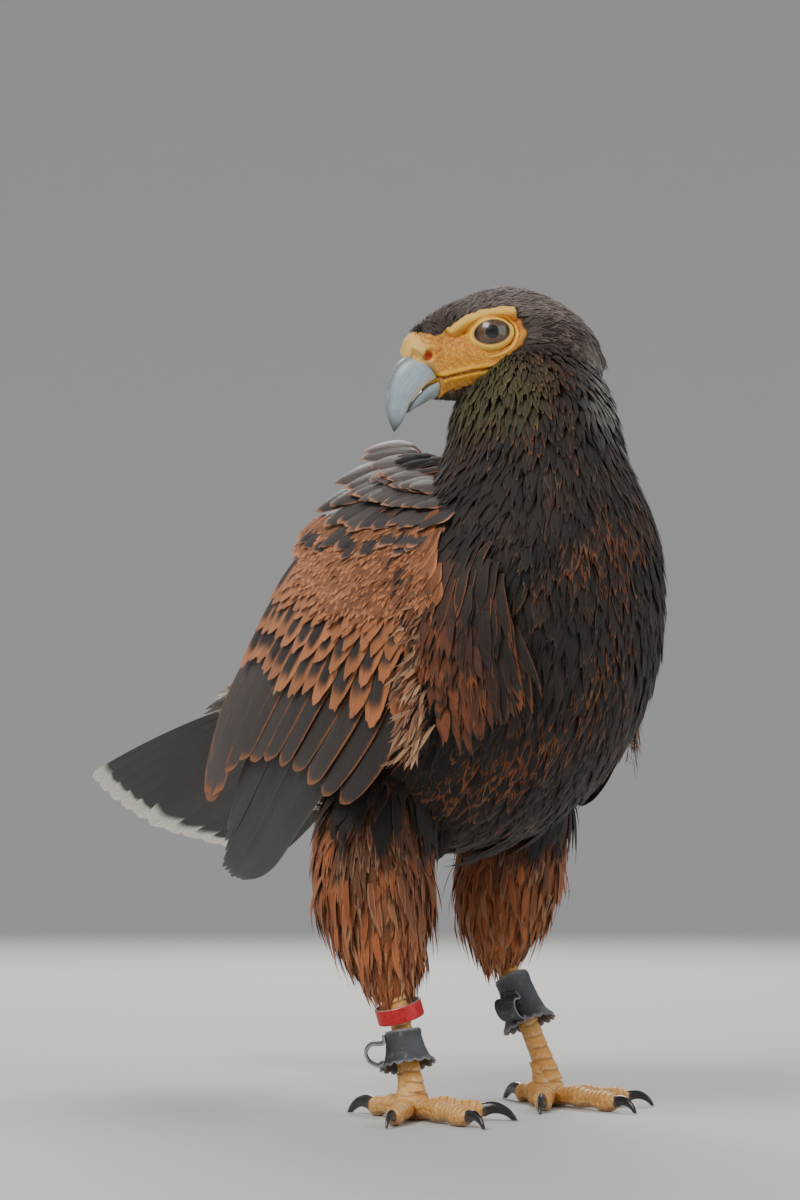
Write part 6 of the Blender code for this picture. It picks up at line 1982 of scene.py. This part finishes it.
def ring_finish():
    """Red anodised metal with fine turned lines and scratches, bare grey where it is worn."""
    finish, tree, metal = new_finish("red ring metal")
    scratch, bare = noise(tree, 700.0, 5.0, 0.7), mask(tree, "bare")
    turned = noise(tree, 3.0, at=spot(tree, mask(tree, "height", 30.0)))
    colour = blend(tree, ramp(tree, scratch, 0.35, 0.65), (0.50, 0.012, 0.016), (0.68, 0.030, 0.030))
    colour = layers(tree, colour, (ramp(tree, scratch, 0.66, 0.76, 0.0, 0.6), (0.80, 0.45, 0.42)),
                    (bare, (0.68, 0.66, 0.66)))
    fill(tree, metal, {"Base Color": colour, "Metallic": calc(tree, "MULTIPLY_ADD", bare, 0.5, 0.30),
                       "Normal": bump(tree, turned, 0.25, 0.0001),
                       "Roughness": ramp(tree, scratch, 0.3, 0.7, 0.26, 0.45)})
    return finish


anklet_leather, red_metal = leather_finish(), ring_finish()
print("worn finishes", anklet_leather.name, red_metal.name)

# %% A band round the shank
RING_Z, RING_OUTER, RING_WALL, RING_HEIGHT = 0.0450, 0.0102, 0.0014, 0.0070
RING_TILT = math.radians(22)
ANKLET_WALL, ANKLET_TOP_R, ANKLET_LOW_R = 0.0014, 0.0077, 0.0108
ANKLET_Z = {"right": (0.0215, 0.0370), "left": (0.0340, 0.0580)}
TAB_WIDTH = 0.0102


def shank_point(side, z):
    """The middle of a shank at a height, and its upward line."""
    hock, sole = shank_ends(side)
    return sole + (hock - sole) * (z - sole[2]) / (hock[2] - sole[2]), unit(hock - sole)


def band(name, centre, axis, tilt_way, radii, heights, finish, values, around=120, form=None):
    """A closed profile of (radius, height) pairs carried round an axis. `form` bends radius and
    height by the angle. Values hold one number for each profile point."""
    axis = unit(axis)
    first = unit(np.cross(tilt_way, axis))
    second = np.cross(axis, first)
    angle = turns(around)
    radius = np.asarray(radii)[:, None] + 0 * angle
    height = np.asarray(heights)[:, None] + 0 * angle
    if form:
        radius, height = form(radius, height, angle)
    loops = centre + axis * height[..., None] + radius[..., None] * (
        np.cos(angle)[:, None] * first + np.sin(angle)[:, None] * second)
    count = len(radius)
    faces = quads(around, count, True).reshape(-1, 4)
    grid = np.swapaxes(loops, 0, 1)
    last = np.stack([np.array([[(around - 1) * count + j, (around - 1) * count + (j + 1) % count,
                                (j + 1) % count, j] for j in range(count)])], 0).reshape(-1, 4)
    marks = {key: np.broadcast_to(np.asarray(value, float), (around, count)).ravel()
             for key, value in values.items()}
    piece = add_piece(name, grid.reshape(-1, 3), np.concatenate([faces, last]), finish, None, marks)
    face_outwards(piece)
    return piece


def rounded_wall(outer, heights, wall, soft=0.35, rows=22):
    """A wall's closed profile: outer line up, round the top, inner line down, round the bottom.
    Also gives masks: 1 near both edges, and 1 on the inner face."""
    s = np.linspace(0, 1, rows)
    radius, height = [np.interp(s, np.linspace(0, 1, len(line)), line) for line in (outer, heights)]
    pinch = soft * wall * (bell(s, 0.03) + bell(1 - s, 0.03))
    out_r, in_r = radius - pinch, (radius - wall + pinch)[::-1]
    edge = np.maximum(bell(s, 0.05), bell(1 - s, 0.05))
    return (np.r_[out_r, in_r], np.r_[height, height[::-1]], np.r_[edge, edge[::-1]],
            np.r_[0 * s, 0 * s + 1] * (1 - np.r_[edge, edge[::-1]]))


print("the right shank leans by", shank_point("right", RING_Z)[1].round(2))

# %% The ring
middle, line = shank_point("right", RING_Z)
axis = line * math.cos(RING_TILT) + np.array([-0.75, -0.66, 0]) * math.sin(RING_TILT)
half = RING_HEIGHT / 2
radii, heights, edge, inner = rounded_wall([RING_OUTER] * 2, [-half, half], RING_WALL, 0.30)
ring = band("leg_ring_fine", middle, axis, [1.0, 0, 0], radii, heights, red_metal,
            {"height": heights / half, "bare": np.maximum(inner, edge > 0.5)})
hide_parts("leg_ring")
print("ring diameter in mm", RING_OUTER * 2000)

# %% The anklets' hem and loop
def scallops(count, depth, seed, reach):
    """Bends a band: soft creases round it, and bites of a sine's shape out of its lower hem."""
    turn = np.random.default_rng(seed)
    phase = turn.uniform(0, 6.3, 5)

    def form(radius, height, angle):
        low = 1 - ease(height, -reach, -reach * 0.45)
        folds = (0.35 * np.sin(3 * angle + phase[0]) + 0.25 * np.sin(5 * angle + phase[1])
                 + 0.18 * np.sin(9 * angle + phase[2] + 300 * height))
        radius = radius + 0.00042 * folds * (0.35 + low) + 0.0005 * low * np.abs(np.sin(count / 2 * angle))
        bite = np.abs(np.sin(count / 2 * angle + 0.25 * np.sin(3 * angle + phase[3]))) ** 0.6
        return radius, height + low ** 3 * depth * (1 - bite) + 0.0004 * np.sin(2 * angle + phase[4])
    return form


def build_loop(side, middle, line, away, reach):
    """The strip's folded end: a flat section carried along a path that leaves the cuff, turns
    once round and lies back on it. Its place along `away` and `line` is in mm from the shank."""
    path = np.array([(8.6, 7.2), (8.9, 4.6), (10.6, 3.9), (14.6, 3.4), (17.2, 0.2), (16.4, -3.6),
                     (13.0, -5.6), (10.4, -4.6), (10.2, -6.8)]) / 1000
    t = np.linspace(0, 1, 90)
    flat = through(path, t) + (0, -0.25 * reach + 0.0006)
    ahead = unit(np.gradient(flat, axis=0))
    across = unit(np.cross(away, line))
    turn = unit(across + 0.30 * line)
    out = ahead[:, 1:] * away - ahead[:, :1] * line
    width = TAB_WIDTH / 2 * (1 - 0.22 * bell(t, 0.08) - 0.22 * bell(1 - t, 0.08))
    angle = turns(36)
    flatten = np.sign(np.cos(angle)) * np.abs(np.cos(angle)) ** 0.35
    thick = np.sign(np.sin(angle)) * np.abs(np.sin(angle)) ** 0.6 * ANKLET_WALL / 2
    wave = 0.0004 * np.sin(7 * t)[:, None] * np.cos(angle)[None] ** 2
    centre = middle + flat[:, :1] * away + flat[:, 1:] * line
    rings = (centre[:, None] + (width[:, None] * flatten[None])[..., None] * turn
             + (thick[None] + wave)[..., None] * out[:, None])
    edge = ease(np.abs(np.cos(angle)), 0.75, 1.0)
    return add_tube("anklet_loop_" + side, rings, anklet_leather, {"edge": edge, "inside": 0.0})


print("loop width in mm", TAB_WIDTH * 1000)

# %% The anklets
def build_anklet(side):
    """The flared, scalloped band round the shank, with the strip's folded loop beside it."""
    low, high = ANKLET_Z[side]
    middle, line = shank_point(side, (low + high) / 2)
    reach = (high - low) / 2
    outer = [ANKLET_LOW_R + 0.0016, ANKLET_LOW_R - 0.001, ANKLET_TOP_R + 0.0014, ANKLET_TOP_R + 0.0008,
             ANKLET_TOP_R + 0.0001, ANKLET_TOP_R + 0.0004]
    levels = [-reach, -0.55 * reach, -0.28 * reach, 0, 0.6 * reach, reach]
    radii, heights, edge, inner = rounded_wall(outer, levels, ANKLET_WALL, rows=34)
    cuff = band("anklet_cuff_" + side, middle, line, [1.0, 0, 0], radii, heights, anklet_leather,
                {"edge": edge, "inside": inner * 0.8}, 150, scallops(17, 0.0016, 3 + len(side), reach))
    away = unit(np.array([-0.9, -0.45, 0.0]) if side == "left" else np.array([-0.8, 0.6, 0.0]))
    loop = build_loop(side, middle, line, away, reach)
    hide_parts("anklet_" + side)


for side in ("right", "left"):
    build_anklet(side)
print("anklet heights in mm", [round((high - low) * 1000, 1) for low, high in ANKLET_Z.values()])

# %% [markdown]
# The studio is a pale floor and three soft lights: a large one from the upper left, a broad fill
# and a rim light from behind, which brings out the sheen on the crown and shoulders.

# %% Floor and lights
def build_floor():
    """A pale bowl turned round the hawk: flat to 2.4 m, then a wide curve up into a low wall, so
    that no edge shows behind it from any side. Height: 2.6 m * a power of the radius's share."""
    finish, _, paint = new_finish("studio floor")
    paint.inputs["Base Color"].default_value = (0.60, 0.595, 0.58, 1)
    paint.inputs["Roughness"].default_value = 0.85
    radius, angle = np.meshgrid(np.r_[0.0002, 0.5, 1.5, np.linspace(2.2, 5.4, 40)],
                                turns(96), indexing="ij")
    rise = 2.6 * np.clip((radius - 2.4) / 3.0, 0, 1) ** 2.0
    points = np.stack([radius * np.cos(angle), radius * np.sin(angle), rise], -1)
    mesh = bpy.data.meshes.new("floor")
    faces = quads(*radius.shape, True).tolist() + [list(range(95, -1, -1))]
    mesh.from_pydata(points.reshape(-1, 3).tolist(), [], faces)
    mesh.shade_smooth()
    mesh.materials.append(finish)
    floor = bpy.data.objects.new("floor", mesh)
    bpy.context.collection.objects.link(floor)
    return floor


def soft_light(title, place, target, size, power, colour=(1, 1, 1)):
    """A square area light that faces its target."""
    lamp = bpy.data.lights.new(title, "AREA")
    lamp.energy, lamp.size, lamp.color = power, size, colour
    obj = bpy.data.objects.new(title, lamp)
    obj.location = place
    way = Vector(target) - Vector(place)
    obj.rotation_euler = way.to_track_quat("-Z", "Y").to_euler()
    bpy.context.collection.objects.link(obj)


build_floor()
CHEST = (0.0, 0.0, 0.22)
soft_light("key", (-1.5, -0.6, 1.7), CHEST, 1.0, 34, (1.0, 0.97, 0.93))
soft_light("fill", (0.9, -1.9, 0.8), CHEST, 1.6, 13, (0.93, 0.96, 1.0))
soft_light("rim", (0.9, 1.3, 1.3), CHEST, 0.9, 26, (1.0, 0.98, 0.96))
world = bpy.data.worlds.new("studio")
world.use_nodes = True
world.node_tree.nodes["Background"].inputs["Color"].default_value = (0.80, 0.82, 0.85, 1)
world.node_tree.nodes["Background"].inputs["Strength"].default_value = 0.55
bpy.context.scene.world = world

# %% [markdown]
# The camera stands as low as the lens of the photograph did, 1.35 m away, and looks up by four
# degrees at the hawk's right side. Its lens follows from the scale of the picture: 2270
# pixels for a metre at the feet, in a frame 1200 pixels high.

# %% Camera
VIEW_TURN = math.radians(-35)
DISTANCE, HEIGHT, SCALE = 1.35, 0.12, 2270
FEET_PIXEL, FRAME_SIZE = (480, 1108), (800, 1200)


def build_camera():
    """Right, back and look directions from the turn and the tilt. The tilt carries the feet's
    pixel row to the camera's height, and the sideways step carries its pixel column."""
    right = np.array([math.cos(VIEW_TURN), math.sin(VIEW_TURN), 0])
    back = np.array([math.sin(VIEW_TURN), -math.cos(VIEW_TURN), 0])
    focal = DISTANCE * SCALE
    level_row = FEET_PIXEL[1] - HEIGHT * SCALE
    tilt = math.atan((level_row - FRAME_SIZE[1] / 2) / focal)
    aside = (FRAME_SIZE[0] / 2 - FEET_PIXEL[0]) / SCALE
    place = back * DISTANCE + right * aside + (0, 0, HEIGHT) + SHIFT
    lens = bpy.data.cameras.new("camera")
    lens.sensor_fit, lens.sensor_height = "VERTICAL", 36
    lens.lens = 36 * focal / math.cos(tilt) / FRAME_SIZE[1]
    lens.clip_start = 0.05
    camera = bpy.data.objects.new("camera", lens)
    camera.location = place
    look = Vector(-back * math.cos(tilt) + np.array([0, 0, math.sin(tilt)]))
    camera.rotation_euler = look.to_track_quat("-Z", "Y").to_euler()
    bpy.context.collection.objects.link(camera)
    bpy.context.scene.camera = camera
    return lens.lens


print("lens", round(build_camera(), 2), "mm")
